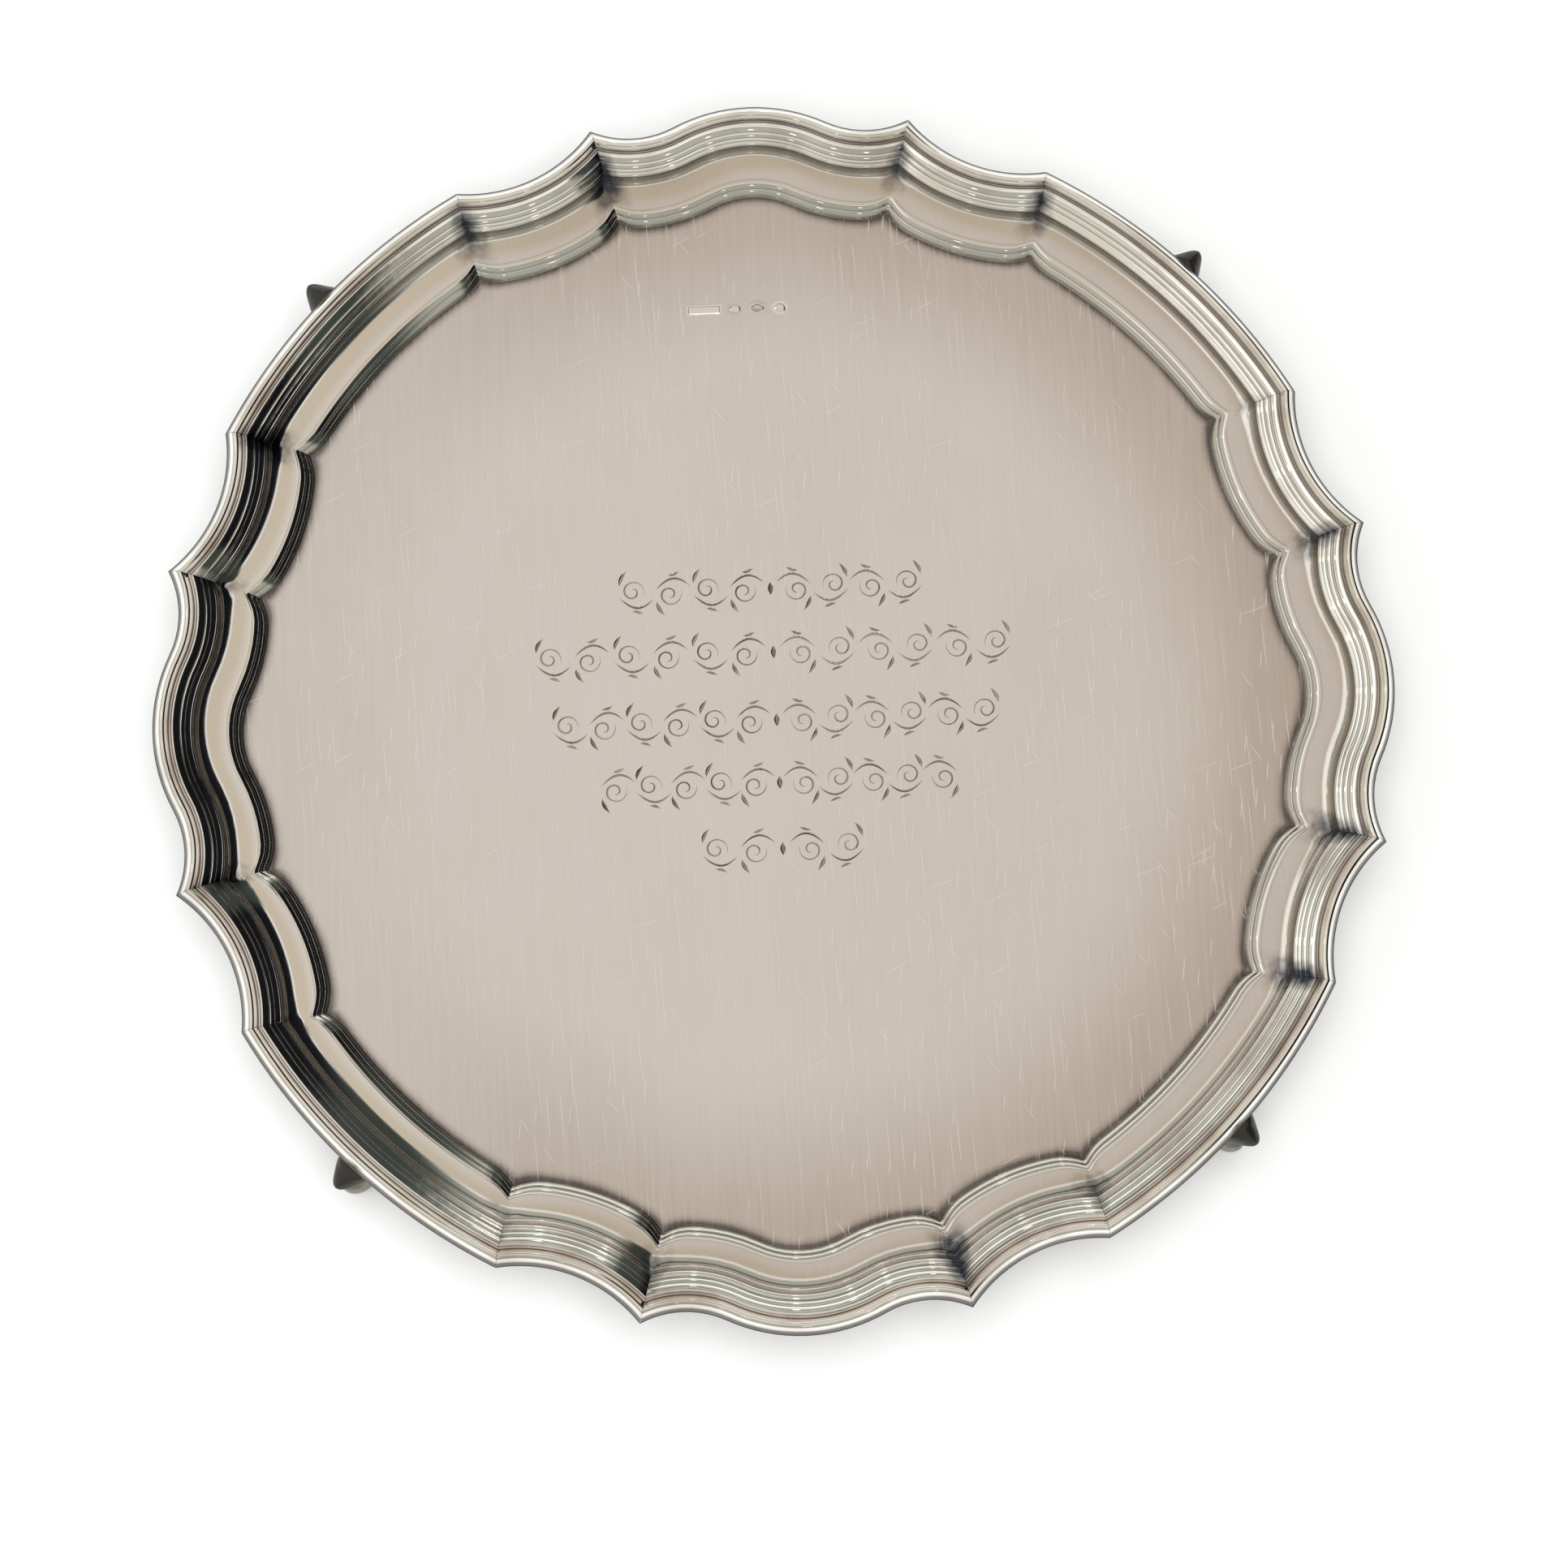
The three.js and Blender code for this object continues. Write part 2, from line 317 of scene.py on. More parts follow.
        here, tip = at(index, t), at(index, round(t))
        share = abs(here - tip) / reach
        if share >= 1:
            return here
        near_end = t > 0.5
        held = reach / abs(at(index, 1) - at(index, 0))
        own = at(index, 1 - held if near_end else held)
        beyond = index + (1 if near_end else -1)
        held = reach / abs(at(beyond, 1) - at(beyond, 0))
        other = at(beyond, held if near_end else 1 - held)
        v = 0.5 + 0.5 * share
        return (1 - v) ** 2 * other + 2 * v * (1 - v) * tip + v**2 * own


def eased(steps: int) -> list[float]:
    """Gives fractions from 0 towards 1, closest together at both ends, without the last."""
    return [0.5 - 0.5 * math.cos(math.pi * step / steps) for step in range(steps)]


# ---------------------------------------------------------------- sections


@dataclass(frozen=True)
class Sweep:
    """One sweep of a section: an arc on to a point, bulging by a share of its chord to its left."""

    inset: float
    height: float
    bulge: float = 0.0
    points: int = 1
    grime_and_shade: float = 0.0  # how much tarnish its end holds, from 0 to 1; on the moulding's outer lip it is painted shade


def draw_section(start: Sweep, sweeps: Sequence[Sweep]) -> Section:
    """Draws a section as a chain of points.

    Args:
        start: where it starts.
        sweeps: the arcs and straight lines that follow.

    Returns:
        The inset and the height of each point in millimetres, and its grime and painted shade.
    """
    drawn = [(start.inset, start.height, start.grime_and_shade)]
    for sweep in sweeps:
        before = complex(drawn[-1][0], drawn[-1][1])
        grime_and_shade = drawn[-1][2]
        chord = complex(sweep.inset, sweep.height) - before
        turn = -4 * math.atan(2 * sweep.bulge)
        for i in range(1, sweep.points + 1):
            u = i / sweep.points
            share = math.sin(turn * u / 2) / math.sin(turn / 2) if turn else u
            point = before + chord * share * cmath.exp(1j * turn * (u - 1) / 2)
            drawn.append((point.real, point.imag, grime_and_shade + (sweep.grime_and_shade - grime_and_shade) * u))
    return drawn


def spin_section(section: Section, closed: bool, angle: float, steps: int) -> bmesh.types.BMesh:
    """Spins a section about the vertical, with its outer edge at SPIN_RADIUS.

    Args:
        section: the inset and the height of each point in millimetres, and its grime and painted shade.
        closed: whether the last point joins back to the first.
        angle: how far it turns, where a full turn closes on itself.
        steps: how many steps it turns in.

    Returns:
        The spun shape.
    """
    bm = bmesh.new()
    grime_and_shade_layer = bm.verts.layers.float.new("grime_and_shade")
    chain = []
    for inset, height, grime_and_shade in section:
        vert = bm.verts.new((SPIN_RADIUS - inset * MM, 0.0, height * MM))
        vert[grime_and_shade_layer] = grime_and_shade
        chain.append(vert)
    pairs = list(zip(chain, chain[1:])) + ([(chain[-1], chain[0])] if closed else [])
    edges = [bm.edges.new(pair) for pair in pairs]
    bmesh.ops.spin(
        bm,
        geom=chain + edges,
        cent=(0, 0, 0),
        axis=(0, 0, 1),
        angle=angle,
        steps=steps,
        use_merge=math.isclose(angle, math.tau),
        use_duplicate=False,
    )
    return bm


# ---------------------------------------------------------------- finishes


@dataclass(frozen=True)
class Marks:
    """One set of stray scratches, at most one to each cell of a grid. Sizes are in millimetres."""

    turn: float  # angle between the scratches and Y, in radians
    cell: tuple[float, float]  # width and length of a cell
    size: tuple[float, float]  # half the width and half the length of a scratch
    kept: float  # share of the cells that hold one


def scratches(tree: Tree, place: Socket, marks: Marks) -> Socket:
    """Scatters one set of short straight scratches.

    Args:
        tree: the material's nodes.
        place: the surface coordinates, in metres.
        marks: the set of scratches.

    Returns:
        How scratched the surface is, from 0 to 1.
    """
    width, length = marks.cell
    grid = {"Vector": place, "Rotation": (0, 0, marks.turn), "Scale": (width * MM, length * MM, 1)}
    cells = add_node(tree, MAPPING, grid, vector_type="TEXTURE").outputs[0]
    nearest = add_node(tree, VORONOI, {"Vector": cells, "Scale": 1.0}, voronoi_dimensions="2D")
    apart = add_node(tree, VECTOR, {0: cells, 1: nearest.outputs["Position"]}, operation="SUBTRACT")
    apart = add_node(tree, VECTOR, {0: apart.outputs[0]}, operation="ABSOLUTE")
    sides = add_node(tree, SPLIT, {0: apart.outputs[0]}).outputs
    chance = add_node(tree, "ShaderNodeSeparateColor", {0: nearest.outputs["Color"]}).outputs[0]
    mask = add_node(tree, MATHS, {0: chance, 1: 1 - marks.kept}, operation="GREATER_THAN").outputs[0]
    for side, reach, extent in zip(sides, marks.size, marks.cell):
        fade = {"Value": side, "From Min": reach / extent, "From Max": 0.25 * reach / extent}
        part = add_node(tree, RANGE, fade, interpolation_type="SMOOTHSTEP").outputs[0]
        mask = add_node(tree, MATHS, {0: mask, 1: part}, operation="MULTIPLY").outputs[0]
    return mask


def grain(tree: Tree, place: Socket, size: tuple[float, float, float], detail: float) -> Socket:
    """Makes an uneven field whose patches have a real size.

    Args:
        tree: the material's nodes.
        place: the surface coordinates, in metres.
        size: width of a patch along X, Y and Z, in millimetres.
        detail: how many finer fields are added to it.

    Returns:
        The field, about 0.5 on average.
    """
    scale = {"Vector": place, "Scale": tuple(s * MM for s in size)}
    cells = add_node(tree, MAPPING, scale, vector_type="TEXTURE").outputs[0]
    return add_node(tree, NOISE, {"Vector": cells, "Scale": 1.0, "Detail": detail}).outputs[0]


@dataclass(frozen=True)
class SilverFinish:
    """Sterling silver, 925 parts of silver to 75 of copper: warm, near white, a mirror where polished."""

    name: str
    bright: str = "fbf8f3"  # clean metal
    film: str = "ab957f"  # thin straw film of the first tarnish
    tarnish_and_shade: str = "4d4244"  # purple-brown sulphide in the corners, and the painted shade on the moulding's outer lip
    stain: str = "464852"  # blue-black bloom left by the solder of a mitre
    roughness: float = 0.12
    bump: float = 0.02 * MM
    first_trace: float = 0.55  # grime at which the tarnish starts to show
    covered: float = 0.9  # how much more of it hides the metal
    darkest: float = 0.88  # share of the metal hidden where it is thickest
    dulled: float = 0.25  # roughness that full tarnish adds
    stain_reach: float = 4.5  # how far a stain spreads along the border, in millimetres

    def make(self) -> bpy.types.Material:
        """Builds the material."""
        material = bpy.data.materials.new(self.name)
        material.use_nodes = True
        tree = material.node_tree
        shader = tree.nodes["Principled BSDF"]
        shader.inputs["Metallic"].default_value = 1.0
        place = add_node(tree, "ShaderNodeTexCoord").outputs["Object"]
        colour, roughness, height = self.surface(tree, place)
        relief = {"Height": height, "Distance": self.bump, "Strength": 1.0}
        tree.links.new(colour, shader.inputs["Base Color"])
        tree.links.new(roughness, shader.inputs["Roughness"])
        tree.links.new(add_node(tree, "ShaderNodeBump", relief).outputs[0], shader.inputs["Normal"])
        return material

    def held_tarnish_and_shade(self, tree: Tree, place: Socket) -> Socket:
        """Gives how much tarnish a place holds, with the painted shade on the moulding's outer lip: its grime
        and shade, broken up by a fine grain.

        Args:
            tree: the material's nodes.
            place: the surface coordinates, in metres.

        Returns:
            The tarnish and painted shade, from 0 to 1.
        """
        grime_and_shade = add_node(tree, ATTRIBUTE, attribute_name="grime_and_shade").outputs["Fac"]
        fine = grain(tree, place, (0.5, 0.5, 0.5), 2)
        broad = grain(tree, place, (16, 16, 16), 3)
        uneven = add_node(tree, MATHS, {0: broad, 1: 2.2, 2: fine}, operation="MULTIPLY_ADD").outputs[0]
        total = add_node(tree, MATHS, {0: uneven, 1: 0.16, 2: grime_and_shade}, operation="MULTIPLY_ADD").outputs[0]
        start, end = self.first_trace, self.first_trace + self.covered
        fade = {"Value": total, "From Min": start, "From Max": end, 3: 0.0, 4: self.darkest}
        return add_node(tree, RANGE, fade, interpolation_type="SMOOTHSTEP").outputs[0]

    def mitre_stain(self, tree: Tree, place: Socket) -> Socket:
        """Gives how stained a place is by the soldered mitre near it.

        Args:
            tree: the material's nodes.
            place: the surface coordinates, in metres.

        Returns:
            The stain, from 0 to 1.
        """
        mitre = add_node(tree, ATTRIBUTE, attribute_name="mitre").outputs["Fac"]
        inset = add_node(tree, ATTRIBUTE, attribute_name="inset").outputs["Fac"]
        total: Socket | float = 1.0
        spans = ((mitre, self.stain_reach, 0.0), (inset, 3.0, 7.0), (inset, 18.0, 11.0))
        for field, clear, full in spans:
            part = add_node(tree, RANGE, {"Value": field, "From Min": clear, "From Max": full}).outputs[0]
            total = add_node(tree, MATHS, {0: total, 1: part}, operation="MULTIPLY").outputs[0]
        held = add_node(tree, RANGE, {"Value": total, "From Min": 0.0, "From Max": 0.3}).outputs[0]
        uneven = grain(tree, place, (2.5, 2.5, 2.5), 4)
        total = add_node(tree, MATHS, {0: total, 1: uneven}, operation="ADD").outputs[0]
        some = grain(tree, place, (45, 45, 45), 1)  # so that no two mitres are stained alike
        total = add_node(tree, MATHS, {0: some, 1: 2.2, 2: total}, operation="MULTIPLY_ADD").outputs[0]
        total = add_node(tree, RANGE, {"Value": total, "From Min": 1.75, "From Max": 2.75}).outputs[0]
        return add_node(tree, MATHS, {0: total, 1: held}, operation="MULTIPLY").outputs[0]

    def coated(self, tree: Tree, coats: Sequence[tuple[Socket, str]]) -> Socket:
        """Lays one colour after another over the clean metal.

        Args:
            tree: the material's nodes.
            coats: how much of each coat shows, from 0 to 1, and its colour.

        Returns:
            The colour of the metal.
        """
        metal: Socket | tuple[float, float, float, float] = linear(self.bright)
        for share, colour in coats:
            mixed = {0: share, 6: metal, 7: linear(colour)}
            metal = add_node(tree, MIX, mixed, data_type="RGBA").outputs[2]
        return metal

    def dulled_by(
        self,
        tree: Tree,
        dark: Socket,
        wear: Socket,
        spread: tuple[float, float],
        polish: Socket | float = 1.0,
    ) -> Socket:
        """Gives the roughness: uneven with wear, and duller where the metal is tarnished.

        Args:
            tree: the material's nodes.
            dark: how tarnished a place is, with the painted shade on the moulding's outer lip.
            wear: the grain of the wear.
            spread: least and most roughness, as shares of the finish's own.
            polish: what it is multiplied by, less than one where a place is polished more.

        Returns:
            The roughness.
        """
        low, high = (share * self.roughness for share in spread)
        rough = {"Value": wear, "From Min": 0.2, "From Max": 0.8, 3: low, 4: high}
        rough = add_node(tree, RANGE, rough).outputs[0]
        rough = add_node(tree, MATHS, {0: rough, 1: polish}, operation="MULTIPLY").outputs[0]
        return add_node(tree, MATHS, {0: dark, 1: self.dulled, 2: rough}, operation="MULTIPLY_ADD").outputs[0]

    def surface(self, tree: Tree, place: Socket) -> Surface:
        """Builds the polished metal of the moulding.

        Args:
            tree: the material's nodes.
            place: the surface coordinates, in metres.

        Returns:
            The colour, the roughness and the height.
        """
        patchy = grain(tree, place, (14, 14, 14), 3)
        film = {"Value": patchy, "From Min": 0.45, "From Max": 0.8, 3: 0.0, 4: 0.5}
        film = add_node(tree, RANGE, film).outputs[0]
        # Tarnish in the grooves and quirks, and painted shade on the outer lip: a dark reflection of the
        # shadowed floor.
        dark = self.held_tarnish_and_shade(tree, place)
        stain = self.mitre_stain(tree, place)
        metal = self.coated(tree, ((film, self.film), (dark, self.tarnish_and_shade), (stain, self.stain)))
        wear = grain(tree, place, (6, 6, 6), 2)
        ripple = grain(tree, place, (3.2, 3.2, 3.2), 1)
        return metal, self.dulled_by(tree, dark, wear, (0.6, 1.5)), ripple


@dataclass(frozen=True)
class SatinSilverFinish(SilverFinish):
    """The same silver hand-polished flat for years: fine straight marks one way, and stray scratches."""

    stain: str = "4a4b55"
    dulled: float = 0.3
    stain_reach: float = 6.0
    film_start: float = 84.0  # radius where the straw film starts, in millimetres
    film_full: float = 133.0  # radius where it is thickest
    film_thinned_across: tuple[float, float] = (-115.0, -35.0)  # X over which the film thins towards -X, thinnest at the first
    flat: float = 22.8  # height of the flat, below which the metal is engraved
    graver_cut: str = "9a8f78"  # polish and dirt in the bottom of a cut
    glint: str = "ffffff"  # painted highlight: the white that a mark is lightened to where it would catch the light
    flat_edge: tuple[float, float] = (20.6, 21.4)  # inset over which the step gives way to the flat
    marks: tuple[Marks, ...] = (
        Marks(0.05, (1.7, 22), (0.16, 8.0), 0.30),
        Marks(-0.12, (3.0, 14), (0.2, 3.0), 0.35),
        Marks(0.6, (9.0, 16), (0.17, 3.2), 0.3),
        Marks(-1.1, (14.0, 20), (0.17, 4.0), 0.3),
        Marks(1.9, (17.0, 19), (0.16, 5.0), 0.3),
    )

    def film_share(self, tree: Tree, place: Socket, inset: Socket, smudge: Socket) -> Socket:
        """Gives how much straw film shows: most near the border, little in the band and none on the step.

        Args:
            tree: the material's nodes.
            place: the surface coordinates, in metres.
            inset: how far inside the border's edge a place is, in millimetres.
            smudge: the uneven field of years of handling.

        Returns:
            The film, from 0 to 1.
        """
        level = add_node(tree, VECTOR, {0: place, 1: (1, 1, 0)}, operation="MULTIPLY").outputs[0]
        reach = add_node(tree, VECTOR, {0: level}, operation="LENGTH").outputs["Value"]
        rim = {"Value": reach, "From Min": self.film_start * MM, "From Max": self.film_full * MM}
        rim = add_node(tree, RANGE, rim, interpolation_type="SMOOTHSTEP").outputs[0]
        across = add_node(tree, SPLIT, {0: place}).outputs[0]
        start, end = (x * MM for x in self.film_thinned_across)
        kept = {"Value": across, "From Min": start, "From Max": end, 3: 0.3, 4: 1.0}
        kept = add_node(tree, RANGE, kept, interpolation_type="SMOOTHSTEP").outputs[0]
        film = add_node(tree, MATHS, {0: rim, 1: kept}, operation="MULTIPLY").outputs[0]
        film = add_node(tree, MATHS, {0: film, 1: 0.45}, operation="MULTIPLY").outputs[0]
        band = add_node(tree, MATHS, {0: inset, 1: 13.5, 2: 3.7}, operation="COMPARE").outputs[0]
        step = add_node(tree, MATHS, {0: inset, 1: 19.1, 2: 1.7}, operation="COMPARE").outputs[0]
        for field, weight in ((smudge, 0.2), (band, -0.2), (step, -0.45)):
            added = {0: field, 1: weight, 2: film}
            film = add_node(tree, MATHS, added, operation="MULTIPLY_ADD", use_clamp=True).outputs[0]
        return film

    def engraved(self, tree: Tree, place: Socket, inset: Socket) -> Socket:
        """Gives how much of a graver's cut a place shows, by its depth below the flat.

        Args:
            tree: the material's nodes.
            place: the surface coordinates, in metres.
            inset: how far inside the border's edge a place is, in millimetres.

        Returns:
            The cut, from 0 to 0.8.
        """
        depth = add_node(tree, SPLIT, {0: place}).outputs[2]
        cut = {"Value": depth, "From Min": (self.flat - 0.02) * MM, "From Max": (self.flat - 0.10) * MM}
        cut = add_node(tree, RANGE, cut).outputs[0]
        upper_face = (self.flat - 0.5) * MM
        above = add_node(tree, MATHS, {0: depth, 1: upper_face}, operation="GREATER_THAN").outputs[0]
        inside = add_node(tree, MATHS, {0: inset, 1: 25.0}, operation="GREATER_THAN").outputs[0]
        for part in (above, inside, 0.8):
            cut = add_node(tree, MATHS, {0: cut, 1: part}, operation="MULTIPLY").outputs[0]
        return cut

    def surface(self, tree: Tree, place: Socket) -> Surface:
        """Builds the worn satin metal of the dish.

        Args:
            tree: the material's nodes.
            place: the surface coordinates, in metres.

        Returns:
            The colour, the roughness and the height.
        """
        inset = add_node(tree, ATTRIBUTE, attribute_name="inset").outputs["Fac"]
        smudge = grain(tree, place, (38, 55, 40), 4)
        brushed_and_sheen = grain(tree, place, (0.8, 26, 5), 3)  # polishing marks, drawn about three times as coarse, which also set a painted sheen
        worn_and_glint = scratches(tree, place, self.marks[0])
        for marks in self.marks[1:]:
            mask = scratches(tree, place, marks)
            worn_and_glint = add_node(tree, MATHS, {0: worn_and_glint, 1: mask}, operation="MAXIMUM").outputs[0]
        dark = self.held_tarnish_and_shade(tree, place)
        # Painted glint: the polishing marks and the scratches are lightened towards white where they would
        # catch the light, most on the flat.
        painted_glint = {"Value": brushed_and_sheen, "From Min": 0.3, "From Max": 0.7, 3: 0.0, 4: 0.12}
        painted_glint = add_node(tree, RANGE, painted_glint).outputs[0]
        glint_strength = {"Value": smudge, "From Min": 0.4, "From Max": 0.62, 3: 0.12, 4: 0.6}
        glint_strength = add_node(tree, RANGE, glint_strength).outputs[0]
        painted_glint = add_node(tree, MATHS, {0: worn_and_glint, 1: glint_strength, 2: painted_glint}, operation="MULTIPLY_ADD").outputs[0]
        start, end = self.flat_edge
        on_flat = {"Value": inset, "From Min": start, "From Max": end, 3: 0.25, 4: 1.0}
        on_flat = add_node(tree, RANGE, on_flat).outputs[0]
        painted_glint = add_node(tree, MATHS, {0: painted_glint, 1: on_flat}, operation="MULTIPLY").outputs[0]
        coats = (
            (self.film_share(tree, place, inset, smudge), self.film),
            (dark, self.tarnish_and_shade),
            (self.mitre_stain(tree, place), self.stain),
            # painted glint on the marks
            (painted_glint, self.glint),
            (self.engraved(tree, place, inset), self.graver_cut),
        )
        border = {"Value": inset, "From Min": start, "From Max": end, 3: 0.45, 4: 1.0}
        border = add_node(tree, RANGE, border).outputs[0]
        rough = self.dulled_by(tree, dark, brushed_and_sheen, (0.8, 1.2), border)
        height = add_node(tree, MATHS, {0: worn_and_glint, 1: -0.6, 2: brushed_and_sheen}, operation="MULTIPLY_ADD").outputs[0]
        flatness = add_node(tree, MATHS, {0: border, 1: 4.0}, operation="POWER").outputs[0]
        height = add_node(tree, MATHS, {0: height, 1: flatness}, operation="MULTIPLY").outputs[0]
        return self.coated(tree, coats), rough, height


# ---------------------------------------------------------------- pieces


@dataclass
class Dish:
    """The dish: one raised sheet with a flat centre, a moulded step and a hollow band."""

    border: Border
    seat: float  # top of the sheet under the moulding, in millimetres
    flat: float = 22.8
    sheet: float = 0.9
    edge: float = 0.62
    band_start: float = 9.8
    foot: float = 21.0
    engraved_share: float = 0.86  # size of the bare centre, as a share of the flat
    tip_reach: float = 1.7  # how far the step's tips stand out past a true offset of the border
    tip_length: float = 6.5  # how far along the step a tip is drawn out
    tip_grime: float = 0.4  # share by which a tip holds more grime than the rest of the step's foot
    centre_inset: float = 40.0  # inset written on the bare centre, well clear of the border's stains
    # Rings on the flat, each by its distance from the step's foot and by the grime that it holds.
    rims: tuple[tuple[float, float], ...] = ((0.12, 1.1), (0.5, 0.9), (1.2, 0.62), (2.5, 0.34), (10.0, 0.0))
    steps: int = 30

    def top_section(self) -> Section:
        """Draws the upper face, from the edge of the sheet to the flat."""
        flat, seat = self.flat, self.seat
        return draw_section(
            Sweep(self.edge, seat),
            [
                Sweep(self.band_start, seat, 0, 3, 0.9),
                Sweep(10.4, seat - 1.2, -0.02, 3, 0.6),
                Sweep(11.4, seat - 2.35, -0.09, 6, 0.42),
                Sweep(17.0, flat + 3.75, -0.05, 14, 0.0),
                Sweep(17.3, flat + 3.72, 0.15, 4, 0.0),
                Sweep(19.15, flat + 2.3, 0.11, 10, 0.0),
                Sweep(19.22, flat + 2.2, 0, 1, 1.2),
                Sweep(19.36, flat + 2.14, 0, 1, 0.1),
                Sweep(20.5, flat + 0.75, 0.07, 8, 0.0),
                Sweep(self.foot - 0.12, flat + 0.1, -0.05, 4, 1.0),
                Sweep(self.foot, flat, -0.1, 1, 1.1),
            ],
        )

    def under_section(self) -> Section:
        """Draws the lower face, from the flat to the edge of the sheet."""
        under, seat = self.flat - self.sheet, self.seat - self.sheet
        return draw_section(
            Sweep(21.4, under),
            [
                Sweep(19.4, under + 1.0, 0.2, 5, 0.5),
                Sweep(18.2, under + 2.6, -0.15, 5, 0.3),
                Sweep(17.0, under + 3.1, 0.1, 3, 0.2),
                Sweep(11.8, seat - 2.3, 0.04, 8, 0.3),
                Sweep(9.6, seat, 0.04, 4, 0.4),
                Sweep(self.edge, seat, 0, 4, 0.5),
            ],
        )

    def build(self) -> bpy.types.Object:
        """Spins both faces, bends them to the border and closes the flats."""
        top, under = self.top_section(), self.under_section()
        flat_rings = [(self.foot + out, self.flat, grime_and_shade) for out, grime_and_shade in self.rims]
        section = under + top + flat_rings
        stretches = QUARTERS * len(Stretch)
        stations = [(index, t) for index in range(stretches) for t in eased(self.steps)]
        bm = spin_section(section, False, math.tau, len(stations))
        inset_layer = bm.verts.layers.float.new("inset")
        mitre_layer = bm.verts.layers.float.new("mitre")
        grime_and_shade_layer = bm.verts.layers.float["grime_and_shade"]
        for vert in bm.verts:
            radius, turn = cmath.polar(complex(vert.co.x, vert.co.y))
            station = round(turn / math.tau * len(stations)) % len(stations)
            index, t = stations[station]
            inset = SPIN_RADIUS - radius
            place = self.border.rounded(index, inset, t, self.rounding(inset / MM) * MM)
            end = self.border.rounded(index, inset, round(t), 0.1 * MM)
            near = max(1 - abs(place - end) / (self.tip_length * MM), 0.0)
            place *= 1 + self.tip_push(inset / MM) * MM * near**2 / abs(place)
            vert.co.x, vert.co.y = place.real, place.imag
            vert[inset_layer] = inset / MM
            vert[mitre_layer] = abs(place - end) / MM
            if inset > self.foot * MM:
                vert[grime_and_shade_layer] += self.tip_grime * near * vert[grime_and_shade_layer]
        self.close_flat(bm, self.flat)
        self.close_flat(bm, self.flat - self.sheet)
        bmesh.ops.recalc_face_normals(bm, faces=bm.faces)
        return new_piece("dish", bm, 24)

    def tip_push(self, inset: float) -> float:
        """Gives how far the step's tips reach out past a true offset of the border, in millimetres."""
        if inset < self.foot:
            return self.tip_reach * min(max((inset - 11.5) / 5.5, 0.0), 1.0)
        return self.tip_reach * max(1 - (inset - self.foot) / 8, 0.0)

    def rounding(self, inset: float) -> float:
        """Gives how far a mitre's crease is rounded: widest in the band, and tight under the moulding.

        Args:
            inset: how far inside the border's edge it is, in millimetres.

        Returns:
            How far from the mitre the rounding starts, in millimetres.
        """
        spans = ((10.0, 13.0, 0.3, 3.0), (13.0, 15.5, 3.0, 3.0), (15.5, 17.3, 3.0, 0.5))
        for start, end, low, high in spans:
            if inset < end:
                share = max(inset - start, 0.0) / (end - start)
                return low + (high - low) * share
        return 0.5

    def close_flat(self, bm: bmesh.types.BMesh, height: float) -> None:
        """Fills the open middle of one face with a ring and a single bare face.

        Args:
            bm: the dish, which is changed.
            height: height of the face, in millimetres.
        """
        rim = [e for e in bm.edges if e.is_boundary and abs(e.verts[0].co.z / MM - height) < 0.01]
        grown = bmesh.ops.extrude_edge_only(bm, edges=rim)["geom"]
        verts = [g for g in grown if isinstance(g, bmesh.types.BMVert)]
        edges = [g for g in grown if isinstance(g, bmesh.types.BMEdge) and g.is_boundary]
        inset_layer = bm.verts.layers.float["inset"]
        for vert in verts:
            vert.co.x *= self.engraved_share
            vert.co.y *= self.engraved_share
            vert[inset_layer] = self.centre_inset
            vert[bm.verts.layers.float["grime_and_shade"]] = 0.0
        bmesh.ops.contextual_create(bm, geom=edges)


@dataclass(frozen=True)
class Stroke:
    """One cut of the graver: a line that swells and dies away, in millimetres from the dish's middle."""

    path: Callable[[float], complex]
    width: float
    swell: float = 1.0  # power of the taper at both ends
    steps: int = 12
    overshoot: float = 0.02  # how far the cutter stands above the flat

    def cutter(self, height: float) -> bmesh.types.BMesh:
        """Makes the V-shaped solid that this cut takes out of the flat.

        Args:
            height: height of the flat, in millimetres.

        Returns:
            The solid.
        """
        bm = bmesh.new()
        bmesh.ops.create_cone(bm, cap_ends=True, segments=3, radius1=1, radius2=1, depth=1)
        lengthwise = [e for e in bm.edges if abs(e.verts[0].co.z - e.verts[1].co.z) > 0.5]
        bmesh.ops.subdivide_edges(bm, edges=lengthwise, cuts=self.steps - 1, use_grid_fill=True)
        first = min(bm.verts, key=lambda v: v.co.y)
        start = math.atan2(first.co.y, first.co.x)
        for vert in bm.verts:
            t = min(max(vert.co.z + 0.5, 0.0), 1.0)
            turn = (math.atan2(vert.co.y, vert.co.x) - start) % math.tau
            side = (0, 1, -1)[round(turn / math.tau * 3) % 3]
            along = self.path(min(t + 0.01, 1.0)) - self.path(max(t - 0.01, 0.0))
            half = 0.5 * self.width * (0.08 + 0.92 * math.sin(math.pi * t) ** self.swell)
            place = self.path(t) + side * half * 1j * along / abs(along)
            drop = self.overshoot if side else -0.75 * half
            vert.co = (place.real * MM, place.imag * MM, (height + drop) * MM)
        bmesh.ops.recalc_face_normals(bm, faces=bm.faces)
        if bm.calc_volume(signed=True) < 0:
            bmesh.ops.reverse_faces(bm, faces=bm.faces)
        return bm


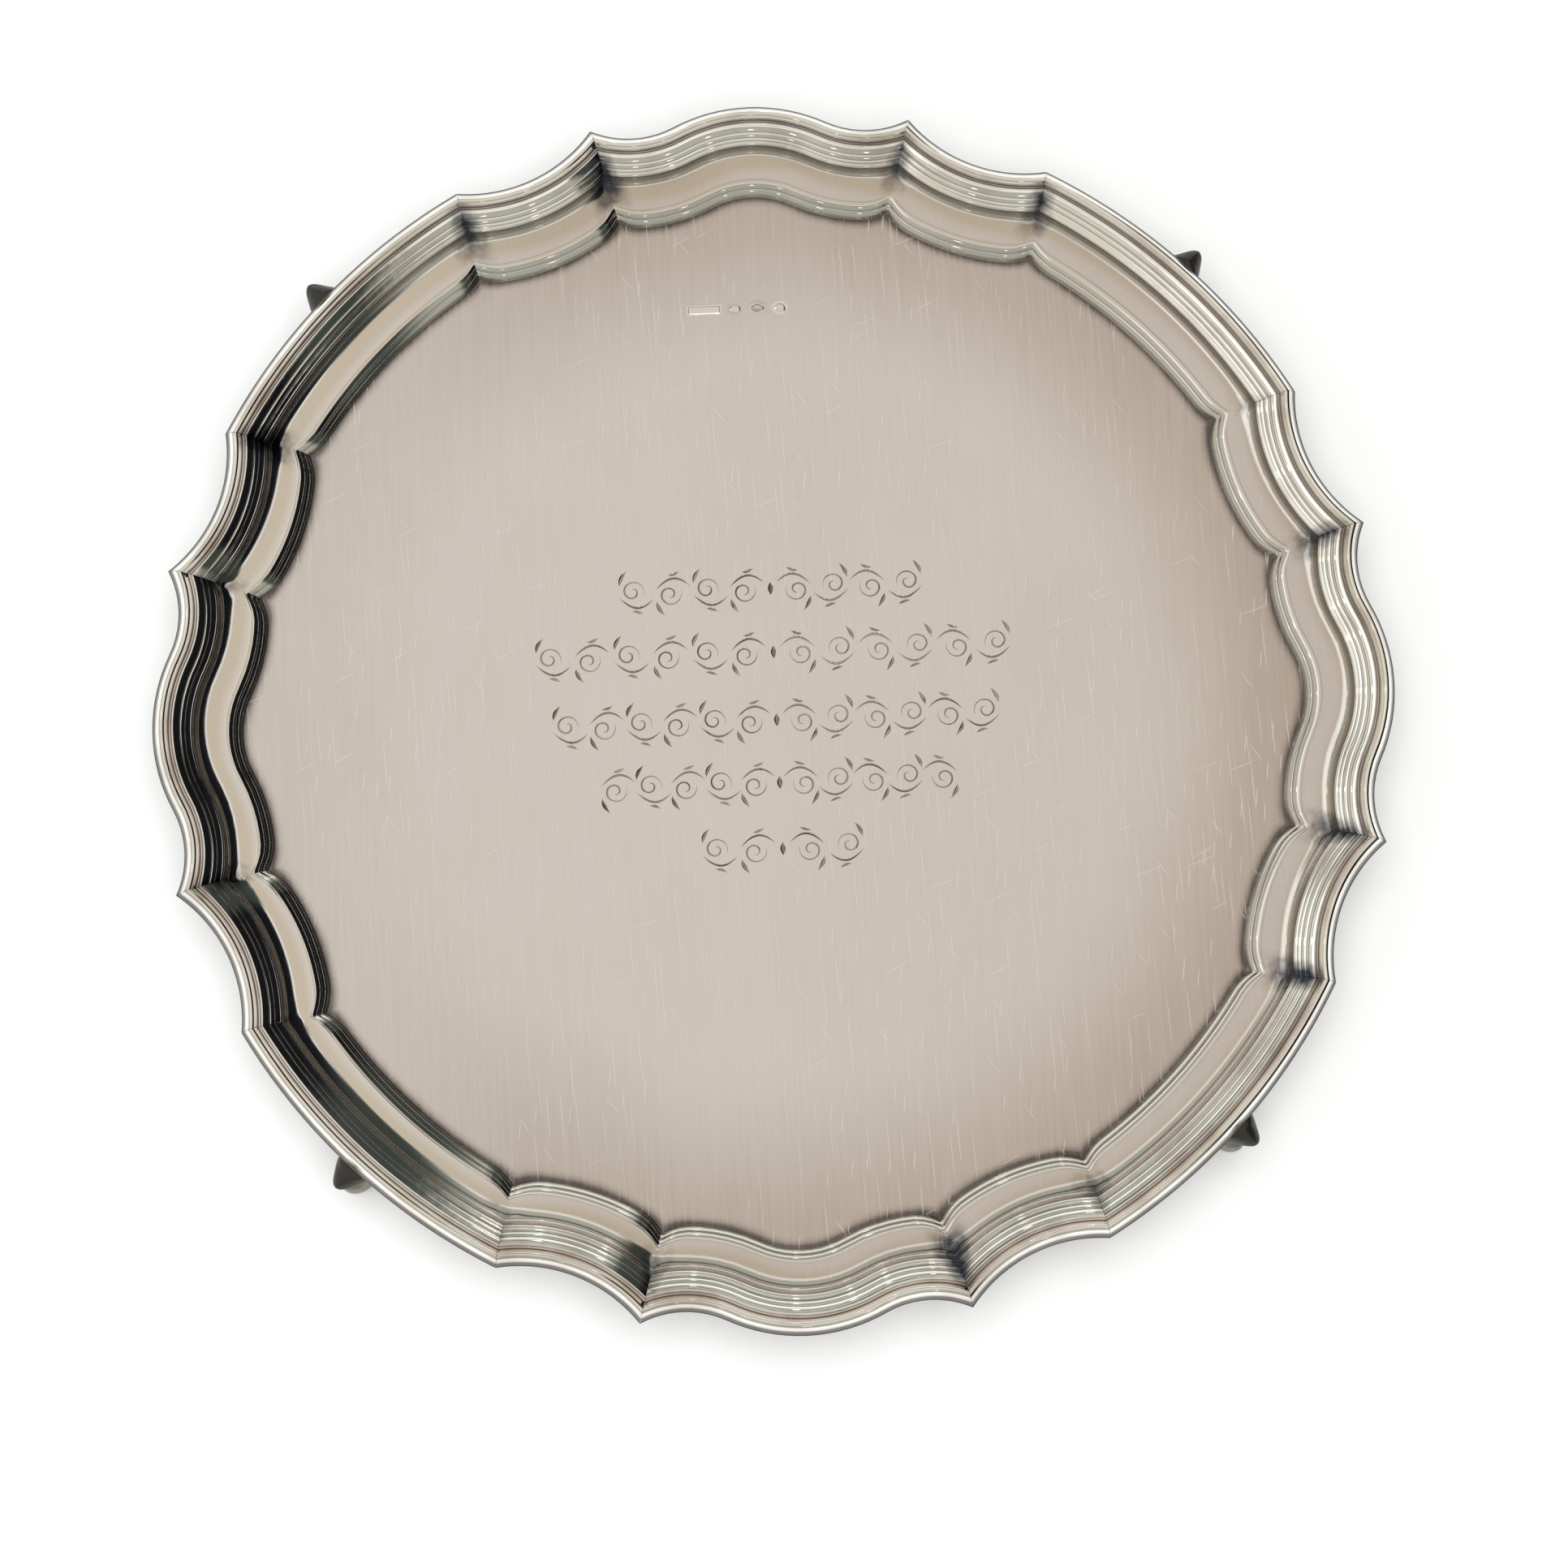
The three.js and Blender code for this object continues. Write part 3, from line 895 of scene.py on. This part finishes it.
@dataclass
class Engraving:
    """Ornament cut in the flat: five rows of running scrolls with leaves, and four plain punches."""

    height: float  # of the flat, in millimetres
    rows: tuple[tuple[float, float], ...] = ((31, 39.5), (15, 61), (-2, 57), (-17.6, 45.5), (-34, 22))
    pitch: float = 9.0
    curl: float = 3.0  # radius of a scroll
    stroke: float = 0.55
    leaf: float = 1.0
    punch_centre: complex = -5 + 102.5j
    punches: tuple[tuple[float, float, float, int], ...] = (
        (-8.3, 8.8, 2.9, 4),
        (-0.5, 4.3, 3.9, 8),
        (5.0, 5.1, 3.9, 6),
        (10.7, 4.1, 3.7, 8),
    )
    punch_depth: float = 0.16
    punch_overshoot: float = 0.05  # how far a punch's solid stands above the flat
    clear_of_rim: float = 30.0  # inset from which the flat carries no stain of the border's
    clean: tuple[float, float, float] = (60.0, 30.0, 0.0)  # inset, mitre and grime written there

    def scroll_row(self, y: float, half_width: float) -> tuple[list[Stroke], list[Stroke]]:
        """Draws one row: scrolls that curl alternately up and down, mirrored about the middle.

        Args:
            y: where the row lies.
            half_width: how far it reaches on each side.

        Returns:
            The scrolls, and the stems and leaves that touch them.
        """
        count = max(round(half_width / self.pitch - 0.3), 1)
        pitch = half_width / (count + 0.3)
        scrolls, leaves = [], []
        for side in (1, -1):
            for i in range(count):
                up = 1 if i % 2 else -1
                centre = complex(pitch * (i + 0.72), up * 0.5)
                scrolls.append(Stroke(place_on(self.spiral, y, side, centre, up), self.stroke, 0.6, 32))
                leaves += [
                    Stroke(place_on(self.stem, y, side, centre, up), self.stroke * 1.3, 0.8),
                    Stroke(place_on(self.outer_leaf, y, side, centre, up), self.leaf),
                    Stroke(place_on(self.inner_leaf, y, side, centre, up), self.leaf * 0.8),
                ]
        leaves.append(Stroke(lambda t: complex(0, y - 1.6 + 3.2 * t), self.leaf * 1.4))
        return scrolls, leaves

    def spiral(self, t: float, up: int) -> complex:
        """Winds a scroll inwards."""
        turn = math.pi * (1.15 - 2.75 * t)
        return self.curl * (1 - 0.8 * t) * complex(math.cos(turn), up * math.sin(turn))

    def stem(self, t: float, up: int) -> complex:
        """Sweeps from the last scroll under this one."""
        dip = self.curl * 1.35 * math.sin(math.pi * (0.15 + 0.75 * t))
        return complex(-1.75 * self.curl + 2.9 * self.curl * t, -up * dip)

    def outer_leaf(self, t: float, up: int) -> complex:
        """Springs away over the scroll."""
        return self.curl * complex(1.07 - 0.6 * t * t, up * (0.55 + 1.2 * t))

    def inner_leaf(self, t: float, up: int) -> complex:
        """Springs away under the stem."""
        return self.curl * complex(0.1 - 0.95 * t, -up * (1.62 + 0.3 * t * t))

    def punch(self, offset: float, width: float, depth: float, sides: int) -> bmesh.types.BMesh:
        """Makes the solid that one punch sinks: a many-sided panel round a raised plain boss.

        Args:
            offset: how far right of the group's middle it stands.
            width: width of the panel.
            depth: height of the panel on the dish.
            sides: how many sides the panel has.

        Returns:
            The solid.
        """
        bm = bmesh.new()
        radius = math.sqrt(0.5) if sides == 4 else 0.54  # so that the panel fills its width
        bmesh.ops.create_circle(bm, cap_ends=True, segments=sides, radius=radius)
        turn = Matrix.Rotation(math.pi / sides if sides != 6 else 0.0, 4, "Z")
        bmesh.ops.transform(bm, matrix=turn, verts=bm.verts)
        bmesh.ops.scale(bm, vec=(width * MM, depth * MM, 1), verts=bm.verts)
        centre = self.punch_centre + offset
        top = Vector((centre.real, centre.imag, self.height + self.punch_overshoot)) * MM
        bmesh.ops.translate(bm, vec=top, verts=bm.verts)
        grown = bmesh.ops.extrude_face_region(bm, geom=bm.faces[:])["geom"]
        floor = next(g for g in grown if isinstance(g, bmesh.types.BMFace))
        down = Vector((0, 0, -(self.punch_depth + self.punch_overshoot) * MM))
        bmesh.ops.translate(bm, vec=down, verts=floor.verts)
        bmesh.ops.inset_region(bm, faces=[floor], thickness=0.24 * depth * MM)
        bmesh.ops.inset_region(bm, faces=[floor], thickness=0.07 * depth * MM)
        bmesh.ops.translate(bm, vec=-down * 0.6, verts=floor.verts)
        bmesh.ops.recalc_face_normals(bm, faces=bm.faces)
        return bm

    def cut(self, dish: bpy.types.Object) -> None:
        """Cuts the whole ornament into the dish.

        Args:
            dish: the dish, whose mesh is changed.
        """
        rows = [self.scroll_row(y, half_width) for y, half_width in self.rows]
        scrolls = [stroke.cutter(self.height) for row in rows for stroke in row[0]]
        leaves = [stroke.cutter(self.height) for row in rows for stroke in row[1]]
        punches = [self.punch(*punch) for punch in self.punches]
        self.carve(dish, scrolls)
        self.carve(dish, leaves + punches)
        self.settle(dish.data)
        log.info("engraved %d cuts: %d faces", len(scrolls) + len(leaves), len(dish.data.polygons))

    def carve(self, dish: bpy.types.Object, solids: Sequence[bmesh.types.BMesh]) -> None:
        """Takes solids that stand clear of each other out of the dish.

        Args:
            dish: the dish, whose mesh is changed.
            solids: what is taken out, freed afterwards.
        """
        whole = bmesh.new()
        for solid in solids:
            scratch = bpy.data.meshes.new("cut")
            solid.to_mesh(scratch)
            solid.free()
            whole.from_mesh(scratch)
            bpy.data.meshes.remove(scratch)
        cutter = new_piece("graver_cuts", whole, 180)
        carve = dish.modifiers.new("carve", "BOOLEAN")
        carve.operation = "DIFFERENCE"
        carve.solver = "EXACT"
        carve.object = cutter
        bpy.context.view_layer.update()
        carved = bpy.data.meshes.new_from_object(dish.evaluated_get(bpy.context.evaluated_depsgraph_get()))
        dish.modifiers.clear()
        dish.data = carved
        bpy.data.objects.remove(cutter)

    def settle(self, carved: bpy.types.Mesh) -> None:
        """Keeps the flat even between the cuts: no stain drawn across it, and every cut's edge crisp.

        Args:
            carved: the dish's mesh with the cuts in it.
        """
        bm = bmesh.new()
        bm.from_mesh(carved)
        inset = bm.verts.layers.float["inset"]
        mitre = bm.verts.layers.float["mitre"]
        grime_and_shade = bm.verts.layers.float["grime_and_shade"]
        for vert in bm.verts:
            if vert[inset] > self.clear_of_rim or not vert[inset]:
                vert[inset], vert[mitre], vert[grime_and_shade] = self.clean
        top = (self.height - 0.01) * MM
        for edge in bm.edges:
            level = [f.normal.z > 0.9999 and f.calc_center_median().z > top for f in edge.link_faces]
            angle = edge.calc_face_angle(0.0)
            edge.smooth = angle < math.radians(24) and (all(level) or not any(level) or angle < 1e-4)
        bm.to_mesh(carved)
        bm.free()


def place_on(
    shape: Callable[[float, int], complex], y: float, side: int, centre: complex, up: int
) -> Callable[[float], complex]:
    """Sets a part of a scroll in its place on a row.

    Args:
        shape: the part, about the scroll's centre.
        y: where the row lies.
        side: 1 to the right of the middle, -1 to the left.
        centre: the scroll's centre on the row.
        up: 1 where the scroll curls up, -1 where it curls down.

    Returns:
        The path on the dish.
    """

    def path(t: float) -> complex:
        """Gives a point a fraction t along the path."""
        point = centre + shape(t, up)
        return complex(side * point.real, y + point.imag)

    return path


@dataclass
class MouldingLength:
    """One mitred length of the cast moulding: lip, flank, crest, groove, reeds and inner bead."""

    border: Border
    seat: float
    mitre_gap: float = 0.05 * MM
    rebate: float = 0.6
    steps: int = 48

    def section(self) -> Section:
        """Draws the closed section, from the inside of the lip round over the top."""
        seat = self.seat
        return draw_section(
            # The high grime on the outer lip and the foot of the flank, out to about 1.25 mm in, is painted
            # shade: a dark reflection of the shadowed floor beside the salver.
            Sweep(self.rebate - 0.05, seat - 0.85, grime_and_shade=1.0),
            [
                Sweep(0.12, seat - 0.85, 0, 1, 1.0),
                Sweep(0.0, seat - 0.65, 0.2, 2, 1.0),
                Sweep(0.0, seat + 0.35, 0, 1, 1.2),
                Sweep(0.16, seat + 0.5, 0.2, 2, 1.2),
                Sweep(0.3, seat + 0.62, 0, 1, 1.1),
                Sweep(0.8, seat + 1.65, 0.03, 4, 1.15),
                Sweep(1.25, seat + 2.5, 0.03, 3, 0.55),
                Sweep(2.5, seat + 4.1, 0.1, 12, 0.0),
                Sweep(2.95, seat + 4.1, 0.1, 4, 0.0),
                Sweep(3.5, seat + 3.5, 0.1, 5, 0.05),
                Sweep(4.3, seat + 2.72, -0.06, 5, 1.25),
                Sweep(4.47, seat + 2.74, 0, 1, 0.4),
                Sweep(5.1, seat + 3.4, -0.05, 4, 0.0),
                Sweep(5.45, seat + 3.4, 0.2, 4, 0.0),
                Sweep(6.95, seat + 2.28, 0.05, 7, 0.0),
                Sweep(7.0, seat + 2.18, 0, 1, 1.2),
                Sweep(7.13, seat + 2.12, 0, 1, 0.1),
                Sweep(8.1, seat + 1.4, 0.06, 6, 0.0),
                Sweep(8.15, seat + 1.3, 0, 1, 1.2),
                Sweep(8.28, seat + 1.22, 0, 1, 0.1),
                Sweep(9.1, seat + 0.65, 0.05, 5, 0.05),
                Sweep(9.8, seat + 0.12, 0.1, 5, 0.2),
                Sweep(9.75, seat + 0.02, 0, 1, 1.2),
                Sweep(self.rebate, seat + 0.02, 0, 4, 1.0),
            ],
        )

    def build(self, name: str, stretch: Stretch, quarter: int) -> bpy.types.Object:
        """Spins a short arc of the section and bends it along its stretch of the border.

        Args:
            name: the CAD node that it stands for.
            stretch: which stretch of the quarter it covers.
            quarter: which quarter.

        Returns:
            The finished length.
        """
        angle = 1.0
        bm = spin_section(self.section(), True, angle, self.steps)
        bmesh.ops.holes_fill(bm, edges=[e for e in bm.edges if e.is_boundary], sides=0)
        fractions = [*eased(self.steps), 1.0]
        inset_layer = bm.verts.layers.float.new("inset")
        mitre_layer = bm.verts.layers.float.new("mitre")
        for vert in bm.verts:
            radius, turn = cmath.polar(complex(vert.co.x, vert.co.y))
            inset = SPIN_RADIUS - radius
            t = fractions[round(turn / angle * self.steps)]
            start = self.border.place(stretch, inset, 0, quarter)
            end = self.border.place(stretch, inset, 1, quarter)
            held = self.mitre_gap / abs(end - start)
            place = self.border.place(stretch, inset, held + (1 - 2 * held) * t, quarter)
            vert.co.x, vert.co.y = place.real, place.imag
            vert[inset_layer] = inset / MM
            vert[mitre_layer] = min(abs(place - start), abs(place - end)) / MM
        bmesh.ops.recalc_face_normals(bm, faces=bm.faces)
        return new_piece(name.replace("moulding", "reeded_edge"), bm, 32)


@dataclass(frozen=True)
class FootRing:
    """One level of a foot, in millimetres: its reach back and forward of the border, and its width."""

    height: float
    back: float
    front: float
    half_width: float
    ridge: float = 0.0  # how far its sides hang below its keel
    nose: float = 0.0  # how far the bud stands out past the front


@dataclass
class Foot:
    """A cast foot: a keeled knee that ends in a bud, a slim shin, and a pad that turns out at the toe."""

    reach: float  # radius of the border's edge above it, in metres
    segments: int = 32
    nose_share: float = 0.62  # width of the bud, as a share of the knee's
    keel_end: float = 24.0  # height down to which the keel is sharp
    knee_grime: float = 1.4
    shin_grime: float = 0.75
    rings: tuple[FootRing, ...] = (
        FootRing(29.78, -10.0, 1.4, 4.6),
        FootRing(29.4, -10.0, 1.9, 4.7, 0.9, 0.2),
        FootRing(28.9, -9.9, 3.0, 4.7, 1.8, 0.7),
        FootRing(28.2, -9.8, 3.6, 4.6, 2.2, 1.5),
        FootRing(27.4, -9.6, 3.9, 4.4, 2.1, 2.4),
        FootRing(26.2, -9.2, 3.8, 4.1, 1.7, 2.5),
        FootRing(25.0, -8.7, 3.3, 3.8, 1.1, 2.0),
        FootRing(23.6, -8.0, 2.7, 3.5, 0.6, 1.0),
        FootRing(21.0, -7.1, 1.9, 3.1, 0.3, 0.2),
        FootRing(17.0, -6.1, 0.9, 2.8),
        FootRing(13.0, -5.3, 0.2, 2.6),
        FootRing(10.0, -5.0, 0.0, 2.6),
        FootRing(7.0, -4.9, 0.9, 3.0),
        FootRing(4.8, -4.8, 2.8, 3.6),
        FootRing(3.4, -4.7, 5.2, 4.1),
        FootRing(2.0, -4.6, 6.7, 4.3),
        FootRing(0.5, -4.4, 6.6, 4.2),
        FootRing(0.0, -4.0, 6.0, 3.8),
    )

    def build(self, name: str, quarter: int) -> bpy.types.Object:
        """Grows the rings downwards and turns the foot to its diagonal.

        Args:
            name: the CAD node that it stands for.
            quarter: which quarter of the border it is under.

        Returns:
            The finished foot.
        """
        bm = bmesh.new()
        bmesh.ops.create_circle(bm, cap_ends=True, segments=self.segments, radius=1.0)
        turn_layer = bm.verts.layers.float.new("turn")
        grime_and_shade_layer = bm.verts.layers.float.new("grime_and_shade")
        for vert in bm.verts:
            vert[turn_layer] = math.atan2(vert.co.y, vert.co.x)
            vert[grime_and_shade_layer] = self.knee_grime
        crease = bm.edges.layers.float.new("crease_edge")
        self.shape(bm.verts[:], self.rings[0], turn_layer)
        loop = bm.edges[:]
        for ring in self.rings[1:]:
            grown = bmesh.ops.extrude_edge_only(bm, edges=loop)["geom"]
            verts = [g for g in grown if isinstance(g, bmesh.types.BMVert)]
            loop = [e for e in bm.edges if e.verts[0] in verts and e.verts[1] in verts]
            self.shape(verts, ring, turn_layer)
            for vert in verts:
                vert[grime_and_shade_layer] = self.knee_grime if ring.nose else self.shin_grime
        bmesh.ops.contextual_create(bm, geom=loop)
        for edge in bm.edges:
            on_keel = all(abs(v[turn_layer]) < 0.01 and v.co.z > self.keel_end * MM for v in edge.verts)
            edge[crease] = 0.9 if on_keel else 0.0
        turn = Matrix.Rotation(math.tau / QUARTERS * (quarter + 0.5), 4, "Z")
        bmesh.ops.transform(bm, matrix=turn, verts=bm.verts)
        bmesh.ops.recalc_face_normals(bm, faces=bm.faces)
        made = new_piece(name.replace("foot", "cast_foot"), bm, 60)
        smooth = made.modifiers.new("smooth", "SUBSURF")
        smooth.levels = smooth.render_levels = 2
        return made

    def shape(self, verts: Sequence[bmesh.types.BMVert], ring: FootRing, turn_layer: object) -> None:
        """Moves a loop of vertices to one ring's outline.

        Args:
            verts: the loop.
            ring: the outline that it takes.
            turn_layer: holds each vertex's angle round the loop.
        """
        middle = 0.3 * ring.back + 0.7 * ring.front if ring.nose else (ring.back + ring.front) / 2
        for vert in verts:
            along, across = math.cos(vert[turn_layer]), math.sin(vert[turn_layer])
            half = ring.front - middle if along > 0 else middle - ring.back
            bud = ring.nose * math.exp(-(abs(across / self.nose_share) ** 3)) if along > 0 else 0.0
            drop = ring.ridge * abs(across)
            out = middle + half * along + bud
            place = (self.reach + out * MM, ring.half_width * across * MM, (ring.height - drop) * MM)
            vert.co = place


# ---------------------------------------------------------------- stage


@dataclass(frozen=True)
class Wall:
    """A patch of the studio's surroundings, by bearing in degrees and by height from -1 to 1."""

    bearing: float
    half_width: float
    blur: float
    colour: tuple[float, float, float]
    low: float = -1.1
    high: float = 1.1

    def edges(self) -> tuple[float, float]:
        """Gives the cosines, from the wall's middle, at which it starts to show and shows wholly."""
        far, near = (min(self.half_width + side, 180) for side in (self.blur, -self.blur))
        return math.cos(math.radians(far)), math.cos(math.radians(near))


def lamps(bearings: Sequence[float], low: float, high: float) -> tuple[Wall, ...]:
    """Hangs a row of small bright lamps, each of which is a pin of light in a reed."""
    return tuple(Wall(bearing, 1.2, 0.5, (14, 14, 13), low, high) for bearing in bearings)


@dataclass(frozen=True)
class Studio:
    """Pale floor, soft light and the camera, looking almost straight down on the dish."""

    lens: float = 77.2
    sensor: float = 36.0
    eye: tuple[float, float, float] = (-28.4, -126.3, 842.5)
    tilt: tuple[float, float, float] = (7.61, -1.69, -2.74)
    floor_side: float = 30.0
    fill_height: float = 1.6
    fill_side: float = 1.2
    fill_power: float = 20.0
    canopy_height: float = 0.76
    canopy_spread: float = 34.0  # degrees from its brightest place to where it is evenly dim
    canopy_fade: float = 0.02
    wall_fade: float = 0.015  # half the height over which a wall's upper or lower edge fades
    canopy_centre: tuple[float, float, float] = (-0.20, 0.14, 1.0)
    canopy_glow: tuple[float, float, float] = (0.74, 0.70, 0.66)
    canopy_edge: tuple[float, float, float] = (0.65, 0.58, 0.478)
    back_wall: tuple[float, float, float] = (0.42, 0.43, 0.38)
    backdrop: tuple[float, float, float] = (0.95, 0.95, 0.95)  # what shows past the floor
    walls: tuple[Wall, ...] = (
        Wall(90, 50, 12, (0.52, 0.53, 0.47)),
        Wall(180, 58, 12, (0.60, 0.59, 0.51)),
        Wall(180, 58, 12, (1.1, 1.1, 1.05), 0.43, 0.46),
        Wall(90, 60, 8, (0.10, 0.10, 0.10), 0.55, 0.60),
        Wall(90, 60, 8, (0.08, 0.09, 0.08), 0.36, 0.41),
        Wall(180, 58, 8, (0.10, 0.10, 0.09), 0.28, 0.34),
        Wall(90, 50, 8, (1.25, 1.23, 1.2), -0.12, 0.16),
        Wall(180, 180, 1, (1.0, 1.0, 0.97), 0.71, 0.80),
        Wall(180, 42, 6, (1.25, 1.25, 1.22), 0.62, 0.74),
        *lamps((62, 84, 106), 0.30, 0.31),
        *lamps((165, 193), 0.52, 0.53),
        *lamps((250, 272, 294), 0.40, 0.41),
        Wall(8, 50, 4, (0.05, 0.06, 0.055)),
        Wall(8, 37, 3, (0.008, 0.009, 0.011)),
        Wall(8, 37, 3, (0.95, 0.95, 0.93), 0.725, 0.80),
    )

    def build(self) -> None:
        """Makes the camera, the floor, the fill light and the surroundings."""
        self.make_camera()
        self.make_floor()
        self.make_fill()
        self.make_surroundings()

    def make_camera(self) -> None:
        """Places the camera and makes it the scene's."""
        data = bpy.data.cameras.new("camera")
        data.lens = self.lens
        data.sensor_width = self.sensor
        data.clip_start = 0.01
        camera = bpy.data.objects.new("camera", data)
        camera.location = [v * MM for v in self.eye]
        camera.rotation_euler = [math.radians(v) for v in self.tilt]
        bpy.context.scene.collection.objects.link(camera)
        bpy.context.scene.camera = camera

    def make_floor(self) -> None:
        """Makes a plain pale floor under the feet."""
        bm = bmesh.new()
        bmesh.ops.create_grid(bm, x_segments=1, y_segments=1, size=self.floor_side / 2)
        floor = new_piece("floor", bm, 30)
        material = bpy.data.materials.new("matt_white_board")  # painted board: pale, with no highlight
        material.use_nodes = True
        shader = material.node_tree.nodes["Principled BSDF"]
        shader.inputs["Base Color"].default_value = linear("f2f5f8")
        shader.inputs["Roughness"].default_value = 0.9
        floor.data.materials.append(material)

    def make_fill(self) -> None:
        """Hangs a broad soft light over the camera, which the metal doesn't mirror."""
        data = bpy.data.lights.new("fill", "AREA")
        data.shape = "DISK"
        data.size = self.fill_side
        data.energy = self.fill_power
        light = bpy.data.objects.new("fill", data)
        light.location = (self.eye[0] * MM, self.eye[1] * MM, self.fill_height)
        light.visible_glossy = False
        light.visible_camera = False
        bpy.context.scene.collection.objects.link(light)

    def make_surroundings(self) -> None:
        """Paints the studio that the silver mirrors, by direction: a warm canopy with walls below it."""
        world = bpy.data.worlds.new("studio")
        world.use_nodes = True
        bpy.context.scene.world = world
        tree = world.node_tree
        tree.nodes.clear()
        way = add_node(tree, "ShaderNodeTexCoord").outputs["Generated"]
        height = add_node(tree, SPLIT, {0: way}).outputs[2]
        flat = add_node(tree, VECTOR, {0: way, 1: (1, 1, 0)}, operation="MULTIPLY").outputs[0]
        level = add_node(tree, VECTOR, {0: flat}, operation="NORMALIZE").outputs[0]
        whole = add_node(tree, "ShaderNodeRGB").outputs[0]
        whole.default_value = (*self.back_wall, 1.0)
        for wall in self.walls:
            bearing = (math.cos(math.radians(wall.bearing)), math.sin(math.radians(wall.bearing)), 0)
            facing = add_node(tree, VECTOR, {0: level, 1: bearing}, operation="DOT_PRODUCT").outputs["Value"]
            spans = (
                (facing, *wall.edges()),
                (height, wall.low - self.wall_fade, wall.low + self.wall_fade),
                (height, wall.high + self.wall_fade, wall.high - self.wall_fade),
            )
            share: Socket | float = 1.0
            for value, start, end in spans:
                fade = {"Value": value, "From Min": start, "From Max": end}
                part = add_node(tree, RANGE, fade, interpolation_type="SMOOTHSTEP").outputs[0]
                share = add_node(tree, MATHS, {0: share, 1: part}, operation="MULTIPLY").outputs[0]
            mixed = {0: share, 6: whole, 7: (*wall.colour, 1.0)}
            whole = add_node(tree, MIX, mixed, data_type="RGBA").outputs[2]
        whole = self.add_canopy(tree, way, height, whole)
        seen = add_node(tree, "ShaderNodeLightPath").outputs["Is Camera Ray"]
        mixed = {0: seen, 6: whole, 7: (*self.backdrop, 1.0)}
        whole = add_node(tree, MIX, mixed, data_type="RGBA").outputs[2]
        glow = add_node(tree, "ShaderNodeBackground", {"Color": whole, "Strength": 1.0})
        add_node(tree, "ShaderNodeOutputWorld", {"Surface": glow.outputs[0]})

    def add_canopy(
        self,
        tree: Tree,
        way: Socket,
        height: Socket,
        walls: Socket,
    ) -> Socket:
        """Hangs the warm canopy over the walls, brightest just beside the camera.

        Args:
            tree: the world's nodes.
            way: the direction looked at.
            height: how far up that direction points, from -1 to 1.
            walls: the colour below the canopy.

        Returns:
            The colour of the whole studio.
        """
        centre = Vector(self.canopy_centre).normalized()
        facing = add_node(tree, VECTOR, {0: way, 1: centre}, operation="DOT_PRODUCT").outputs["Value"]
        fade = {"Value": facing, "From Min": math.cos(math.radians(self.canopy_spread)), "From Max": 1.0}
        glow = add_node(tree, RANGE, fade, interpolation_type="SMOOTHSTEP").outputs[0]
        mixed = {0: glow, 6: (*self.canopy_edge, 1.0), 7: (*self.canopy_glow, 1.0)}
        canopy = add_node(tree, MIX, mixed, data_type="RGBA").outputs[2]
        low, high = self.canopy_height - self.canopy_fade, self.canopy_height + self.canopy_fade
        fade = {"Value": height, "From Min": low, "From Max": high}
        over = add_node(tree, RANGE, fade, interpolation_type="SMOOTHSTEP").outputs[0]
        return add_node(tree, MIX, {0: over, 6: walls, 7: canopy}, data_type="RGBA").outputs[2]


# ---------------------------------------------------------------- assembly


def fit(piece: bpy.types.Object, node: str, material: bpy.types.Material) -> None:
    """Dresses a piece and has it stand for its CAD node."""
    piece.data.materials.append(material)
    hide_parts(node)
    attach(piece, BODY)
    log.info("%s stands for %s: %d faces", piece.name, node, len(piece.data.polygons))


def main() -> None:
    """Builds the salver and its stage."""
    logging.basicConfig(level=logging.INFO, format="%(message)s")
    bpy.context.scene.view_settings.view_transform = "Standard"
    Studio().build()
    border = Border()
    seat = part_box("tray")[1].z / MM
    # Hand-polished sheet: soft, blurred reflections, broken by fine marks one way.
    flat_finish = SatinSilverFinish("satin_sterling_silver", "efece7", roughness=0.16).make()
    # Polished casting: a near mirror, so the reeds carry sharp black and white lines.
    edge_finish = SilverFinish("polished_sterling_silver", roughness=0.055).make()
    # Casting left as it was under the rim: duller and nearly black, with a slightly lumpy skin.
    foot_finish = SilverFinish(
        "cast_sterling_silver", "c9c6bf", tarnish_and_shade="1d1d1e", roughness=0.2, bump=0.3 * MM
    ).make()
    dish = Dish(border, seat)
    sheet = dish.build()
    Engraving(dish.flat).cut(sheet)
    fit(sheet, "tray", flat_finish)
    length = MouldingLength(border, seat)
    foot = Foot(border.arc_reach)
    counts: dict[str, int] = {}
    for quarter in range(QUARTERS):
        for stretch in Stretch:
            kind = stretch.value.removesuffix("_far")
            counts[kind] = counts.get(kind, 0) + 1
            name = f"{kind}_{counts[kind]}"
            fit(length.build(name, stretch, quarter), name, edge_finish)
        name = f"foot_{quarter + 1}"
        fit(foot.build(name, quarter), name, foot_finish)


if __name__ == "__main__":
    main()
